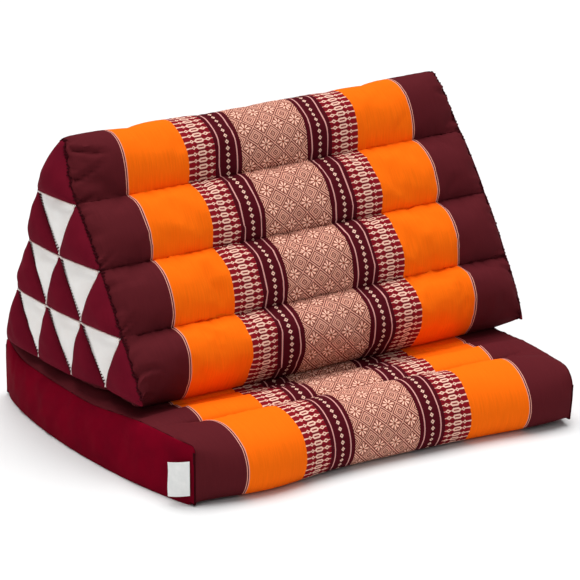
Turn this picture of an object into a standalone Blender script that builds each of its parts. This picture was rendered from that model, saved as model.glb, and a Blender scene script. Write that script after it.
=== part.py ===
"""Thai triangle cushion lying folded: a filled three-sided wedge, sewn at its rear edge to one filled mat under it.

Metres, +Z up, +X along the cushion's width, -Y is the front. The sizes are worked out in the maker's frame, whose
X starts at the wedge's middle and whose Y starts near the mat's front edge. MAKER_SHIFT moves it to the part's frame.
"""

import math

import bpy
import numpy as np

MAKER_SHIFT = (0.0033, -0.1758, 0.0)

# The wedge: half width to the end seams, and the corners of its cross-section as (y, z).
WEDGE_HALF = 0.2475
APEX = (0.2585, 0.3250)
FRONT_CORNER = (0.0915, 0.0775)
REAR_CORNER = (0.3785, 0.0700)
ROWS = 4
SLOPE_BOW = 0.0040
WEDGE_PUFF = 0.0170
WEDGE_END_PUFF = 0.0050
WEDGE_TAPER = 0.055
PUFF_STEPS = 6

# How flat the crown of a sewn channel is: 1 is a plain arc, and less is flatter on top and steeper at the seams.
CROWN_POWER = 0.65

# How far the end seams draw in at the ridge, the height where that starts, how fast it grows, and how close to the
# seam the cloth follows it.
RIDGE_DRAW = 0.0100
DRAW_START = 0.2400
DRAW_POWER = 1.4
DRAW_REACH_POWER = 6

# How much higher the ridge is at its right end than at its left.
RIDGE_TILT = 0.0060

# The full rolls round the ridge and the two feet: how far they stand out past the corner, and how far they spread.
RIDGE_ROLL = (0.0375, 0.31)
FOOT_ROLL = (0.0270, 0.80)

# The mat: its depth, where its rear edge and left end lie, its width in front and at the rear, and how far its ends
# bow out between their corners.
MAT_DEPTH = 0.3920
MAT_REAR = 0.3815
MAT_LEFT = -0.2460
MAT_FRONT_WIDTH = 0.4600
MAT_REAR_WIDTH = 0.4860
MAT_BOW_FLOOR = 0.0235
MAT_BOW_TOP = 0.0100
MAT_TAPER = 0.20
MAT_END_ROLL = 0.0600
MAT_ROLLS = 7
MAT_SEAM_HEIGHT = 0.0600
MAT_PUFF = 0.0085
MAT_END_PUFF = 0.0020
MAT_CORNER_HEIGHT = 0.0640
MAT_END_SAG = 0.0120
MAT_EDGE_OUT = 0.0060
FLOOR_GROOVE = 0.0040
GROOVE_REACH = 0.0080

# The handles of the curve round the mat's front edge, as (depth, z).
EDGE_ROLL = ((-0.0320, 0.0400), (0.0180, 0.0920))

# The mat lies a little turned under the wedge: how much further forward it reaches for each metre to the right.
MAT_TURN = 0.1500

# Where along x the mat's front roll is fuller, how far it then swells forwards, and over what width.
FRONT_SWELLS = ((-0.1700, 0.0160), (0.1950, 0.0090))
SWELL_WIDTH = 0.0700

# Where the wedge rests on the mat, the depth where that starts, and the gap that the pieces keep.
CONTACT_HEIGHT = 0.0640
CONTACT_START = 0.0900
GAP = 0.0003

# The pieced end panels: the dome of the whole, the crown of each small triangle, and their seam's thickness.
PANEL_DOME = 0.0060
FILLED_CROWN = 0.0125
PLAIN_CROWN = 0.0040
PATCH_RIM = 0.0020
PATCH_STEPS = 6

# The mat's side bands: the gap behind them, their seam's thickness and how far they crown.
BAND_SEAT = 0.00045
BAND_RIM = 0.0020
BAND_CROWN = 0.0060
BAND_STEPS = 5

# The cloth strip that joins the two at the rear, across the notch between their rolls.
HINGE_HALF = 0.1800
HINGE_LOW = 0.0450
HINGE_HIGH = 0.0860
HINGE_THICK = 0.0012
HINGE_DIP = 0.0020

# The sewn-in tag at the mat's front left corner.
TAG_WIDTH = 0.0250
TAG_HEIGHT = 0.0370
TAG_THICK = 0.0010
TAG_LOW = 0.0125
TAG_START = -0.0040
TAG_STAND = 0.0045
TAG_DROP = 0.0050
TAG_SWING = math.radians(30)
TAG_CURL = 0.0020

# Colours as linear RGB, and how rough the cotton is.
COTTON_ROUGHNESS = 0.85
COLOURS = {
    "woven_stripe_cotton": (0.900, 0.190, 0.015),
    "crimson_cotton": (0.125, 0.006, 0.018),
    "white_cotton": (0.720, 0.710, 0.660),
    "tag_satin": (0.800, 0.800, 0.800),
}


def clear_scene():
    """Removes the objects that the file starts with."""
    for obj in list(bpy.data.objects):
        bpy.data.objects.remove(obj)


def cotton(name):
    """A matt Principled material of the named cloth."""
    material = bpy.data.materials.get(name)
    if material is None:
        material = bpy.data.materials.new(name)
        material.use_nodes = True
        shader = material.node_tree.nodes["Principled BSDF"]
        shader.inputs["Base Color"].default_value = (*COLOURS[name], 1.0)
        shader.inputs["Roughness"].default_value = COTTON_ROUGHNESS
        shader.inputs["Metallic"].default_value = 0.0
    return material


def add_piece(name, points, faces, cloth, rig):
    """One named object from points in the maker's frame, on the empty that carries it to the part's frame."""
    mesh = bpy.data.meshes.new(name)
    mesh.from_pydata([tuple(p) for p in points], [], faces)
    mesh.validate()
    if enclosed_volume(mesh) < 0:
        mesh.flip_normals()
    mesh.shade_smooth()
    mesh.set_sharp_from_angle(angle=math.radians(50))
    mesh.materials.append(cotton(cloth))
    obj = bpy.data.objects.new(name, mesh)
    bpy.context.scene.collection.objects.link(obj)
    obj.parent = rig
    return obj


def enclosed_volume(mesh):
    """Six times the volume that the mesh's faces enclose, negative where they point inwards."""
    mesh.calc_loop_triangles()
    corners = [[mesh.vertices[v].co for v in triangle.vertices] for triangle in mesh.loop_triangles]
    return sum(a.dot(b.cross(c)) for a, b, c in corners)


def cubic(start, first, last, end, steps):
    """Points of a cubic curve from its start towards its end, without the end itself."""
    t = (np.arange(steps) / steps)[:, None]
    return start * (1 - t) ** 3 + 3 * first * t * (1 - t) ** 2 + 3 * last * t**2 * (1 - t) + end * t**3


def to_left(start, end):
    """The unit vector to the left of the way from start to end."""
    along = end - start
    return np.array([-along[1], along[0]]) / np.linalg.norm(along)


def puff(start, end, height, steps):
    """Points of one sewn channel: the chord from seam to seam with a flat-topped crown on its left."""
    t = (np.arange(steps) / steps)[:, None]
    return start + (end - start) * t + to_left(start, end) * height * (4 * t * (1 - t)) ** CROWN_POWER


def side_seams(start, end, bow):
    """The seams along one face of the wedge, from corner to corner, on a shallow arc that stands out by bow."""
    a, b = np.array(start), np.array(end)
    shares = np.arange(ROWS + 1) / ROWS
    return [a + (b - a) * s + to_left(a, b) * bow * math.sin(math.pi * s) for s in shares]


def wedge_seams():
    """The seams of the front slope upwards, the rear slope downwards and the base forwards."""
    front = side_seams(FRONT_CORNER, APEX, SLOPE_BOW)
    rear = side_seams(APEX, REAR_CORNER, SLOPE_BOW)
    base = side_seams(REAR_CORNER, FRONT_CORNER, 0.0)
    return front, rear, base


def corner_roll(before, corner, after, roll, fullness):
    """The cloth round a corner: two small puffs that meet at it at the end seams, and one fat roll in between."""
    middle = (before + after) / 2
    out = (corner - middle) / np.linalg.norm(corner - middle) * roll[0]
    spread = (after - before) * roll[1]
    first = (before + corner * 2) / 3 + out - spread
    last = (after + corner * 2) / 3 + out + spread
    full = cubic(before, first, last, after, 2 * PUFF_STEPS)
    drawn = [puff(before, corner, WEDGE_END_PUFF, PUFF_STEPS), puff(corner, after, WEDGE_END_PUFF, PUFF_STEPS)]
    return np.concatenate(drawn) * (1 - fullness) + full * fullness


def wedge_ring(fullness):
    """The wedge's closed cross-section as (y, z). Fullness is 0 at the end seams and 1 along the middle.

    It starts at the seam before the front corner and has the same number of steps in each of the twelve channels.
    """
    front, rear, base = wedge_seams()
    height = WEDGE_END_PUFF + (WEDGE_PUFF - WEDGE_END_PUFF) * fullness
    parts = [corner_roll(base[3], front[0], front[1], FOOT_ROLL, fullness)]
    parts += [puff(front[k], front[k + 1], height, PUFF_STEPS) for k in (1, 2)]
    parts.append(corner_roll(front[3], front[4], rear[1], RIDGE_ROLL, fullness))
    parts += [puff(rear[k], rear[k + 1], height, PUFF_STEPS) for k in (1, 2)]
    parts.append(corner_roll(rear[3], rear[4], base[1], FOOT_ROLL, fullness))
    parts += [puff(base[k], base[k + 1], height, PUFF_STEPS) for k in (1, 2)]
    ring = np.concatenate(parts)
    ring[:, 1] = np.maximum(ring[:, 1], CONTACT_HEIGHT + GAP)
    return ring


def drawn_half(height):
    """The wedge's half width at a height: full up to DRAW_START, and drawn in more and more towards the ridge."""
    share = max(0.0, (height - DRAW_START) / (APEX[1] - DRAW_START))
    return WEDGE_HALF - RIDGE_DRAW * share**DRAW_POWER


def wedge_point(x, y, z):
    """A point of the wedge, its x drawn in near the end seams and its z tilted along the ridge."""
    near_end = math.copysign((abs(x) / WEDGE_HALF) ** DRAW_REACH_POWER, x)
    return (x - (WEDGE_HALF - drawn_half(z)) * near_end, y, tilted(x, z))


def tilted(x, z):
    """The height of a point of the wedge: the ridge rises to the right, and the base stays level."""
    share = max(0.0, (z - FRONT_CORNER[1]) / (APEX[1] - FRONT_CORNER[1]))
    return z + RIDGE_TILT / 2 * x / WEDGE_HALF * share


def fullness_at(x, half, taper):
    """How full the cloth is at x: 1 in the middle, then a quarter round down to 0 at the end seam."""
    share = min(1.0, max(0.0, (abs(x) - half + taper) / taper))
    return math.sqrt(1 - share**2)


def stations(half, taper):
    """Places along the width, close together where the cloth draws in."""
    near = half - taper * (1 - np.array([0.0, 0.40, 0.72, 0.92, 1.0]))
    middle = np.linspace(-near[0], near[0], 7)[1:-1]
    return np.concatenate([-near[::-1], middle, near])


def tube_faces(rings, size):
    """Quads between neighbouring rings of points."""
    return [
        (r * size + i, r * size + (i + 1) % size, (r + 1) * size + (i + 1) % size, (r + 1) * size + i)
        for r in range(rings - 1)
        for i in range(size)
    ]


def grid_faces(rows, columns, start=0):
    """Quads of a grid of points that is stored row by row."""
    corners = [(start + r * columns + c) for r in range(rows - 1) for c in range(columns - 1)]
    return [(a, a + columns, a + columns + 1, a + 1) for a in corners]


def grid_rim(rows, columns):
    """The indices round the edge of such a grid, in order."""
    rim = [r * columns for r in range(rows)]
    rim += [(rows - 1) * columns + c for c in range(1, columns)]
    rim += [r * columns + columns - 1 for r in range(rows - 2, -1, -1)]
    return rim + list(range(columns - 2, 0, -1))


def rim_faces(rim, count):
    """The wall between a face's rim and the same rim on its back, whose points come count later."""
    return [(a, a + count, b + count, b) for a, b in zip(rim, rim[1:] + rim[:1])]


def add_wedge(rig):
    """The wedge: one filled body of twelve rolls, flat where it rests, its ends the facets that the patches cover."""
    places = stations(WEDGE_HALF, WEDGE_TAPER)
    points = []
    for x in places:
        ring = wedge_ring(fullness_at(x, WEDGE_HALF, WEDGE_TAPER))
        points += [wedge_point(x, y, z) for y, z in ring]
    size = len(ring)
    faces = tube_faces(len(places), size)
    for side, start in ((-1, 0), (1, len(points) - size)):
        place = {}
        for n, key in enumerate(PANEL_EDGE):
            place[key] = start + n * PUFF_STEPS
        for key, (y, z) in panel_grid().items():
            if key not in place:
                place[key] = len(points)
                points.append(wedge_point(side * WEDGE_HALF, y, z))
        ends = [tuple(place[key] for key in reversed(keys)) for _, keys, _ in panel_patches()]
        for n in range(len(PANEL_EDGE)):
            first = start + n * PUFF_STEPS
            ends.append(tuple(start + (first - start + step) % size for step in range(PUFF_STEPS, -1, -1)))
        faces += [tuple(reversed(face)) if side > 0 else face for face in ends]
    add_piece("wedge", points, faces, "woven_stripe_cotton", rig)


# The twelve seam crossings round an end panel, from the last base seam round the front slope, ridge and rear slope.
PANEL_EDGE = [(4, 3), (4, 4), (3, 3), (2, 2), (1, 1), (0, 0), (1, 0), (2, 0), (3, 0), (4, 0), (4, 1), (4, 2)]


def panel_grid():
    """The seam crossings of an end panel as (y, z), keyed by (row, place): rows from the apex down, rear to front."""
    front, rear, base = wedge_seams()
    grid = {(ROWS, k): base[k] for k in range(ROWS + 1)}
    for row in range(ROWS):
        start, end = rear[row], front[ROWS - row]
        for k in range(row + 1):
            grid[row, k] = start + (end - start) * (k / max(row, 1))
    return grid


def middle_share(shares):
    """How near a place in a triangle is to its middle, from its three shares: 1 there and 0 along the sides."""
    return 27 * float(np.prod(shares))


def panel_dome(point):
    """How far the panel stands out at a (y, z) point: most in the middle, nothing at its three edges."""
    corners = np.array([[*APEX, 1], [*FRONT_CORNER, 1], [*REAR_CORNER, 1]]).T
    shares = np.linalg.solve(corners, [*point, 1])
    return PANEL_DOME * middle_share(np.clip(shares, 0, 1))


def panel_patches():
    """The small triangles as (name, keys, filled). Those that point up are dark and filled, the rest are white."""
    patches = []
    for row in range(ROWS):
        for k in range(row + 1):
            keys = ((row, k), (row + 1, k), (row + 1, k + 1))
            patches.append((f"row{row + 1}_crimson{k + 1}", keys, True))
        for k in range(row):
            keys = ((row + 1, k + 1), (row, k + 1), (row, k))
            patches.append((f"row{row + 1}_white{k + 1}", keys, False))
    return patches


def drawn_in(corners):
    """The triangle with each side moved in by a little over half a gap, so that neighbours stand a gap apart."""
    places = np.array(corners)
    sides = np.linalg.norm(np.roll(places, -1, 0) - np.roll(places, 1, 0), axis=1)
    centre = (places * sides[:, None]).sum(0) / sides.sum()
    first, second = places[1] - places[0], places[2] - places[0]
    inner_radius = abs(first[0] * second[1] - first[1] * second[0]) / sides.sum()
    return centre + (places - centre) * (1 - 0.55 * GAP / inner_radius)


def add_patch(name, keys, filled, side, rig):
    """One small triangle of an end panel: a flat back on the wedge's end, a thin edge and a crowned face."""
    grid = panel_grid()
    corners = [grid[key] for key in keys]
    places = drawn_in([(y, tilted(side * WEDGE_HALF, z)) for y, z in corners])
    domes = np.array([panel_dome(c) for c in corners])
    seats = np.array([drawn_half(c[1]) + GAP for c in corners])
    crown = FILLED_CROWN if filled else PLAIN_CROWN
    nodes = [(i, j) for i in range(PATCH_STEPS + 1) for j in range(PATCH_STEPS + 1 - i)]
    index = {node: n for n, node in enumerate(nodes)}
    face_points, back_points = [], []
    for i, j in nodes:
        shares = np.array([i, j, PATCH_STEPS - i - j]) / PATCH_STEPS
        bulge = crown * middle_share(shares) ** CROWN_POWER
        seat = float(shares @ seats)
        face_points.append((side * (seat + PATCH_RIM + float(shares @ domes) + bulge), *(shares @ places)))
        back_points.append((side * seat, *(shares @ places)))
    faces = []
    for i, j in nodes:
        if i + j < PATCH_STEPS:
            faces.append((index[i, j], index[i + 1, j], index[i, j + 1]))
        if i + j < PATCH_STEPS - 1:
            faces.append((index[i + 1, j], index[i + 1, j + 1], index[i, j + 1]))
    rim = [index[i, 0] for i in range(PATCH_STEPS)]
    rim += [index[PATCH_STEPS - j, j] for j in range(PATCH_STEPS)]
    rim += [index[0, PATCH_STEPS - j] for j in range(PATCH_STEPS)]
    back = list(range(len(face_points), len(face_points) + len(rim)))
    faces.append(tuple(reversed(back)))
    faces += [(a, c, d, b) for a, b, c, d in zip(rim, rim[1:] + rim[:1], back, back[1:] + back[:1])]
    points = face_points + [back_points[v] for v in rim]
    add_piece(name, points, faces, "crimson_cotton" if filled else "white_cotton", rig)


def bow(share):
    """How far a long edge of the mat bows out or sags, from 0 at its corners to 1 half way."""
    return (4 * share * (1 - share)) ** 0.8


def mat_point(side, depth, height, out=0.0):
    """A point of the mat in the maker's frame, for side from -1, its left end, to 1, its right end.

    The ends bow out between their corners, more at the floor than at the top seam. The front edge is turned and has
    two swells, and both fade towards the straight rear edge. An end's point is moved outwards by out.
    """
    share = min(max(depth / MAT_DEPTH, 0.0), 1.0)
    lift = min(max(height / MAT_SEAM_HEIGHT, 0.0), 1.0)
    half = (MAT_FRONT_WIDTH + (MAT_REAR_WIDTH - MAT_FRONT_WIDTH) * share) / 2
    bowed = bow(share) * (MAT_BOW_FLOOR + (MAT_BOW_TOP - MAT_BOW_FLOOR) * lift) + out
    x = MAT_LEFT + half * (1 + side) + bowed * side
    swell = sum(reach * math.exp(-(((x - at) / SWELL_WIDTH) ** 2)) for at, reach in FRONT_SWELLS)
    ahead = min(1.0, max(0.0, 1 - depth / MAT_END_ROLL))
    return (x, MAT_REAR - (MAT_DEPTH - depth) * (1 + MAT_TURN * x) - swell * ahead, height)


def mat_seam_depths():
    """How far each seam of the mat's top lies behind its front edge."""
    return np.linspace(MAT_END_ROLL, MAT_DEPTH - MAT_END_ROLL, MAT_ROLLS - 1)


def mat_top_middle(roll_steps, puff_steps):
    """The upper cloth along the mat's middle as (depth, z): a front roll, the sewn channels and a rear roll."""
    seams = [np.array([d, MAT_SEAM_HEIGHT]) for d in mat_seam_depths()]
    front, rear = np.array([0.0, FLOOR_GROOVE]), np.array([MAT_DEPTH, FLOOR_GROOVE])
    low, high = (np.array(p) for p in EDGE_ROLL)
    mirror, rear_edge = np.array([-1.0, 1.0]), np.array([MAT_DEPTH, 0.0])
    parts = [cubic(front, low, high, seams[0], roll_steps)]
    parts += [puff(a, b, MAT_PUFF, puff_steps) for a, b in zip(seams, seams[1:])]
    parts.append(cubic(seams[-1], rear_edge + high * mirror, rear_edge + low * mirror, rear, roll_steps))
    return np.concatenate([*parts, [rear]])


def mat_top_end(roll_steps, puff_steps):
    """The upper cloth at the mat's end seams: upright corners and a sagging edge with small puffs between."""
    rise = roll_steps // 2
    up = np.linspace(FLOOR_GROOVE, MAT_CORNER_HEIGHT, rise + 1)[:-1]
    edge = np.stack([np.full(rise, -MAT_EDGE_OUT), up], axis=1)
    seams = mat_seam_depths()
    along = [np.linspace(-MAT_EDGE_OUT, seams[0], roll_steps - rise + 1)[:-1]]
    along += [np.linspace(a, b, puff_steps + 1)[:-1] for a, b in zip(seams, seams[1:])]
    along.append(np.linspace(seams[-1], MAT_DEPTH + MAT_EDGE_OUT, roll_steps - rise + 1))
    depth = np.concatenate(along)
    swell = np.abs(np.sin(np.pi * (depth - seams[0]) / (seams[1] - seams[0])))
    height = MAT_CORNER_HEIGHT - MAT_END_SAG * bow(np.clip(depth / MAT_DEPTH, 0, 1)) + MAT_END_PUFF * swell
    down = edge[::-1] * (-1, 1) + (MAT_DEPTH, 0)
    return np.concatenate([edge, np.stack([depth, height], axis=1), down])


def mat_top(side, roll_steps=10, puff_steps=4):
    """The upper cloth at side, from -1 to 1: between its end and its middle section, and level under the wedge."""
    middle = mat_top_middle(roll_steps, puff_steps)
    end = mat_top_end(roll_steps, puff_steps)
    curve = end + (middle - end) * fullness_at(side, 1.0, MAT_TAPER)
    under = curve[:, 0] > CONTACT_START
    curve[under, 1] = np.minimum(curve[under, 1], CONTACT_HEIGHT)
    return curve


def mat_floor(top):
    """The underside with as many points as the top: flat on the floor, rising to the front and the rear seam."""
    depth = np.linspace(top[0, 0], top[-1, 0], len(top))
    nearest = np.minimum(depth - top[0, 0], top[-1, 0] - depth)
    return np.stack([depth, FLOOR_GROOVE * np.clip(1 - nearest / GROOVE_REACH, 0, 1)], axis=1)


def side_net(side, out):
    """Points over the mat's end, moved outwards by out(share, lift), and their index by column and step.

    Each column runs up from the floor to a point of the upper cloth. The first and last are a single point.
    """
    top = mat_top(side)
    floor = mat_floor(top)
    last = len(top) - 1
    points, index = [], {}
    for n, (low, high) in enumerate(zip(floor, top)):
        for step in range(BAND_STEPS + 1):
            if n in (0, last) and step:
                index[n, step] = index[n, 0]
                continue
            lift = step / BAND_STEPS
            depth, height = low + (high - low) * lift
            index[n, step] = len(points)
            points.append(mat_point(side, depth, height, out(n / last, lift)))
    faces = []
    for n in range(last):
        for step in range(BAND_STEPS):
            corners = [index[n, step], index[n + 1, step], index[n + 1, step + 1], index[n, step + 1]]
            faces.append(tuple(dict.fromkeys(corners)))
    faces = [face for face in faces if len(face) > 2]
    rim = [index[n, BAND_STEPS] for n in range(last + 1)]
    rim += [index[n, 0] for n in range(last - 1, 0, -1)]
    return points, faces, rim


def add_mat(rig):
    """The mat: one filled body of seven rolls, its sides bowed out, flat on the floor and under the wedge."""
    places = stations(1.0, MAT_TAPER)
    points = []
    for side in places:
        top = mat_top(side)
        ring = np.concatenate([top, mat_floor(top)[-2:0:-1]])
        points += [mat_point(side, d, z) for d, z in ring]
    size = len(ring)
    faces = tube_faces(len(places), size)
    for side, start in ((-1, 0), (1, len(points) - size)):
        net, net_faces, rim = side_net(side, lambda share, lift: 0.0)
        place = {v: start + n for n, v in enumerate(rim)}
        for v, point in enumerate(net):
            if v not in place:
                place[v] = len(points)
                points.append(point)
        for face in net_faces:
            corners = [place[v] for v in face]
            faces.append(tuple(reversed(corners)) if side > 0 else tuple(corners))
    add_piece("mat", points, faces, "woven_stripe_cotton", rig)


def band_out(share, lift):
    """How far a side band's face stands out: a thin edge at its seams and a crown between them."""
    ends = 1 - (2 * share - 1) ** 6
    return BAND_SEAT + BAND_RIM + BAND_CROWN * ends * (4 * lift * (1 - lift)) ** CROWN_POWER


def add_band(name, side, rig):
    """The crimson band that closes one side of the mat."""
    front, faces, rim = side_net(side, band_out)
    back, _, _ = side_net(side, lambda share, lift: BAND_SEAT)
    count = len(front)
    faces += [tuple(count + v for v in reversed(face)) for face in faces]
    faces += [(b, b + count, a + count, a) for a, b in zip(rim, rim[1:] + rim[:1])]
    add_piece(name, front + back, faces, "crimson_cotton", rig)


def reach_at(section, height):
    """How far back a section, given as (y, z) points in order, reaches at a height."""
    a, b = section[:-1], section[1:]
    low, high = np.minimum(a[:, 1], b[:, 1]), np.maximum(a[:, 1], b[:, 1])
    hit = (low <= height) & (height < high)
    share = (height - a[hit, 1]) / (b[hit, 1] - a[hit, 1])
    return float((a[hit, 0] + (b[hit, 0] - a[hit, 0]) * share).max())


def add_hinge(rig):
    """The strip of the same cloth that is sewn to the mat's rear roll and to the wedge's, over the notch between."""
    mat = np.array([mat_point(0.0, d, z)[1:] for d, z in mat_top(0.0)])
    low = reach_at(mat, HINGE_LOW)
    high = reach_at(wedge_ring(1.0), HINGE_HIGH)
    steps, columns = 7, 7
    points = []
    for lift in np.linspace(0.0, 1.0, steps):
        for x in np.linspace(-HINGE_HALF, HINGE_HALF, columns):
            y = low + (high - low) * lift + GAP * 2 - HINGE_DIP * 4 * lift * (1 - lift)
            points.append((x, y, HINGE_LOW + (HINGE_HIGH - HINGE_LOW) * lift))
    count = len(points)
    points += [(x, y + HINGE_THICK, z) for x, y, z in points]
    faces = grid_faces(steps, columns)
    faces += [tuple(count + v for v in reversed(face)) for face in faces]
    faces += rim_faces(grid_rim(steps, columns), count)
    add_piece("hinge_strip", points, faces, "woven_stripe_cotton", rig)


def add_tag(rig):
    """The white tag, caught in the mat's front left corner seam and swung out from the side band."""
    root = mat_point(-1, TAG_START, TAG_LOW, TAG_STAND)
    along = np.array([-math.sin(TAG_SWING), math.cos(TAG_SWING), 0.0])
    outward = np.array([-math.cos(TAG_SWING), -math.sin(TAG_SWING), 0.0])
    columns = 5
    points = []
    for row in range(2):
        for share in np.linspace(0.0, 1.0, columns):
            curl = outward * TAG_CURL * 4 * share * (1 - share)
            rise = (0.0, 0.0, TAG_HEIGHT * row - TAG_DROP * share)
            points.append(np.array(root) + along * TAG_WIDTH * share + curl + rise)
    count = len(points)
    points += [p + outward * TAG_THICK for p in points]
    faces = grid_faces(2, columns)
    faces += [tuple(count + v for v in reversed(face)) for face in faces]
    faces += rim_faces(grid_rim(2, columns), count)
    add_piece("tag", points, faces, "tag_satin", rig)


def main():
    clear_scene()
    rig = bpy.data.objects.new("maker_frame", None)
    bpy.context.scene.collection.objects.link(rig)
    rig.location = MAKER_SHIFT
    add_wedge(rig)
    for end, side in (("left", -1), ("right", 1)):
        for name, keys, filled in panel_patches():
            add_patch(f"{end}_{name}", keys, filled, side, rig)
        add_band(f"{end}_band", side, rig)
    add_mat(rig)
    add_hinge(rig)
    add_tag(rig)


main()
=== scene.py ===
"""The cloth of a Thai triangle cushion that lies folded: a filled wedge on the filled mat it is sewn to.

Metres, +Z up, -Y is the front. Shapes are worked out in the maker's frame, whose X starts at the wedge's middle and
whose Y starts near the mat's front edge, and MAKER_SHIFT takes them to the part's frame.
"""

import math

import bpy
import numpy as np
from mathutils import Matrix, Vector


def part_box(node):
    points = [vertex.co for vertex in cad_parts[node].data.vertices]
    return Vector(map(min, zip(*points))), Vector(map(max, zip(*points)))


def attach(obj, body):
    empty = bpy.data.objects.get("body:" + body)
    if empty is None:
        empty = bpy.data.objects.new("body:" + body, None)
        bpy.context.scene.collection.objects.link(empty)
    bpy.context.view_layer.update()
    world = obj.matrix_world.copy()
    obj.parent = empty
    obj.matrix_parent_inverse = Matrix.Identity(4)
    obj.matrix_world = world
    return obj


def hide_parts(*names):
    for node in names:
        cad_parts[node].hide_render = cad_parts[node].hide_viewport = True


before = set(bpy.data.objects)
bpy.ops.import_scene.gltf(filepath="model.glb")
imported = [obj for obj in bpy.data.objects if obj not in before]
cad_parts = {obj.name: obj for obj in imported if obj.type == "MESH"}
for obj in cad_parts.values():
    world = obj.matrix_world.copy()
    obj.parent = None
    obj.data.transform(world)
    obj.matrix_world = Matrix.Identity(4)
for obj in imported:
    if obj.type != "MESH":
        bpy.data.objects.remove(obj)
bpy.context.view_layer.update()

bl_info = {
    "name": "Thai Triangle Cushion",
    "version": (1, 0, 0),
    "blender": (4, 5, 0),
    "location": "View3D > Sidebar > Cushion",
    "description": "Sews the woven cover, end panels, side bands and stitches of a folded triangle cushion",
    "category": "Object",
}

MAKER_SHIFT = np.array([0.0033, -0.1758, 0.0])

# The wedge's cross-section as (y, z), and how far each sewn seam lies from its even place on the faces.
APEX = np.array([0.2585, 0.3250])
FRONT_CORNER = np.array([0.0915, 0.0775])
REAR_CORNER = np.array([0.3785, 0.0700])
ROWS = 4
SLOPE_BOW = 0.0040
FRONT_SHIFTS = {3: (0.0040, -0.0010), 4: (0.0, 0.0036)}
REAR_SHIFTS = {0: (0.0, 0.0036), 1: (0.0085, -0.0022), 4: (0.0, -0.0035)}
BASE_SHIFTS = {0: (0.0, -0.0035), 1: (0.0, -0.0057), 2: (0.0, -0.0064)}
# What is left of each roll's height at the end seams: the front's from the bottom up, the rear's from the top down.
FRONT_END_PUFFS = (0.0030, 0.0015, 0.0015, -0.0015)
REAR_END_PUFFS = (0.0035, 0.0010, 0.0005, 0.0020)
BASE_END_PUFFS = (0.0, 0.0, 0.0, 0.0)
# Steps of the cover's grid round each channel and at each tip of the end section, and its rows across the cushion.
WEDGE_STEPS = 28
TIP_STEPS = 7
WEDGE_TAPER_ROWS, WEDGE_MIDDLE_ROWS = 22, 96
PANEL_STEPS = 22
# The right end shows a straight outline in the photo, so its panel stands out by this share of the left one.
RIGHT_FILL = 0.30
# The end seams draw in towards the ridge, and the right one towards its foot.
RIDGE_DRAW = 0.0100
DRAW_POWER = 2.6
DRAW_START = 0.2400
DRAW_REACH = 6
RIGHT_FOOT, FOOT_HEIGHT = 0.0048, 0.0619
RIDGE_TILT = 0.0060
# The fat rolls at the section's corners: how far they stand out, and how wide their handles spread.
RIDGE_ROLL = (0.0415, 0.31)
FOOT_ROLL = (0.0270, 0.80)
CROWN_POWER = 0.65
# Where the wedge lies on the mat.
CONTACT_HEIGHT = 0.0640
CONTACT_START = 0.0900
GAP = 0.0003

# The mat's outline: its ends bow out more at the floor than at the top.
MAT_DEPTH = 0.3920
MAT_REAR = 0.3815
MAT_LEFT = -0.2460
MAT_FRONT_WIDTH = 0.4600
MAT_REAR_WIDTH = 0.4860
MAT_BOW_FLOOR = 0.0235
MAT_BOW_TOP = 0.0100
BOW_POWER = 0.8
# Its rolls, whose end taper is a share of its half width, and the steps of its grid.
MAT_TAPER = 0.20
MAT_END_ROLL = 0.0600
MAT_ROLLS = 7
MAT_SEAM_HEIGHT = 0.0600
MAT_CORNER_HEIGHT = 0.0640
END_ROLL_STEPS, PUFF_STEPS = 26, 12
MAT_TAPER_ROWS, MAT_MIDDLE_ROWS = 20, 90
# The radii of the mat's upper corners at its left end and at its right end.
MAT_CORNER_RADII = (0.0060, 0.0185)
# How far the right front corner is tucked in at the top, and further in and up at the floor, and how far that reaches.
RIGHT_TUCK = (0.0010, 0.0042, 0.0062)
TUCK_REACH = 0.05
MAT_END_SAG = 0.0105
MAT_EDGE_OUT = 0.0060
MAT_TURN = 0.1500
FLOOR_GROOVE = 0.0040
GROOVE_REACH = 0.0080
EDGE_ROLL = ((-0.0320, 0.0400), (0.0180, 0.0920))
FRONT_SWELLS = ((-0.1700, 0.0160), (0.1950, 0.0090))
SWELL_WIDTH = 0.0700
# The cloth that the mat's end seams take in leaves this half width of it showing.
MAT_CLOTH_HALF = 0.2426

# The cloth's unevenness as the shortest and longest waves and how far they reach from a seam: the puckers along the
# sewn seams, the seams' own wander, the gathers at the end seams, and the broad lumps of the filling, with its depth.
WEDGE_PUCKERS = ((0.007, 0.030), 0.006)
WEDGE_WANDER = ((0.060, 0.200), 0.014, 0.0010)
WEDGE_GATHERS = ((0.009, 0.026), 0.013)
WEDGE_LUMPS = ((0.045, 0.160), 0.012, 0.0007)
MAT_PUCKERS = ((0.008, 0.034), 0.007)
MAT_GATHERS = ((0.008, 0.030), 0.012)
MAT_LUMPS = ((0.050, 0.170), 0.0008)

# The end panels: how far the seams' corners stand out, the share of each small triangle that its seams take in, the
# drop of the panel's tip and where it starts, the white triangles' tuck, and the filling's lumps.
PANEL_SEAT = 0.002
SEAM_SHARE = 0.012
TIP_DROP, TIP_FROM = 0.0058, 0.84
WHITE_TUCK = 0.0026
PANEL_LUMPS = ((0.018, 0.060), 0.0007)

# The side bands: the grid, the seam allowance they stand off by, and their rim at the floor.
BAND_COLUMNS, BAND_ROWS = 96, 14
BAND_SEAT, BAND_RIM = 0.00045, 0.0020
CREASE_HALF_WIDTH = 0.0022

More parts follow.
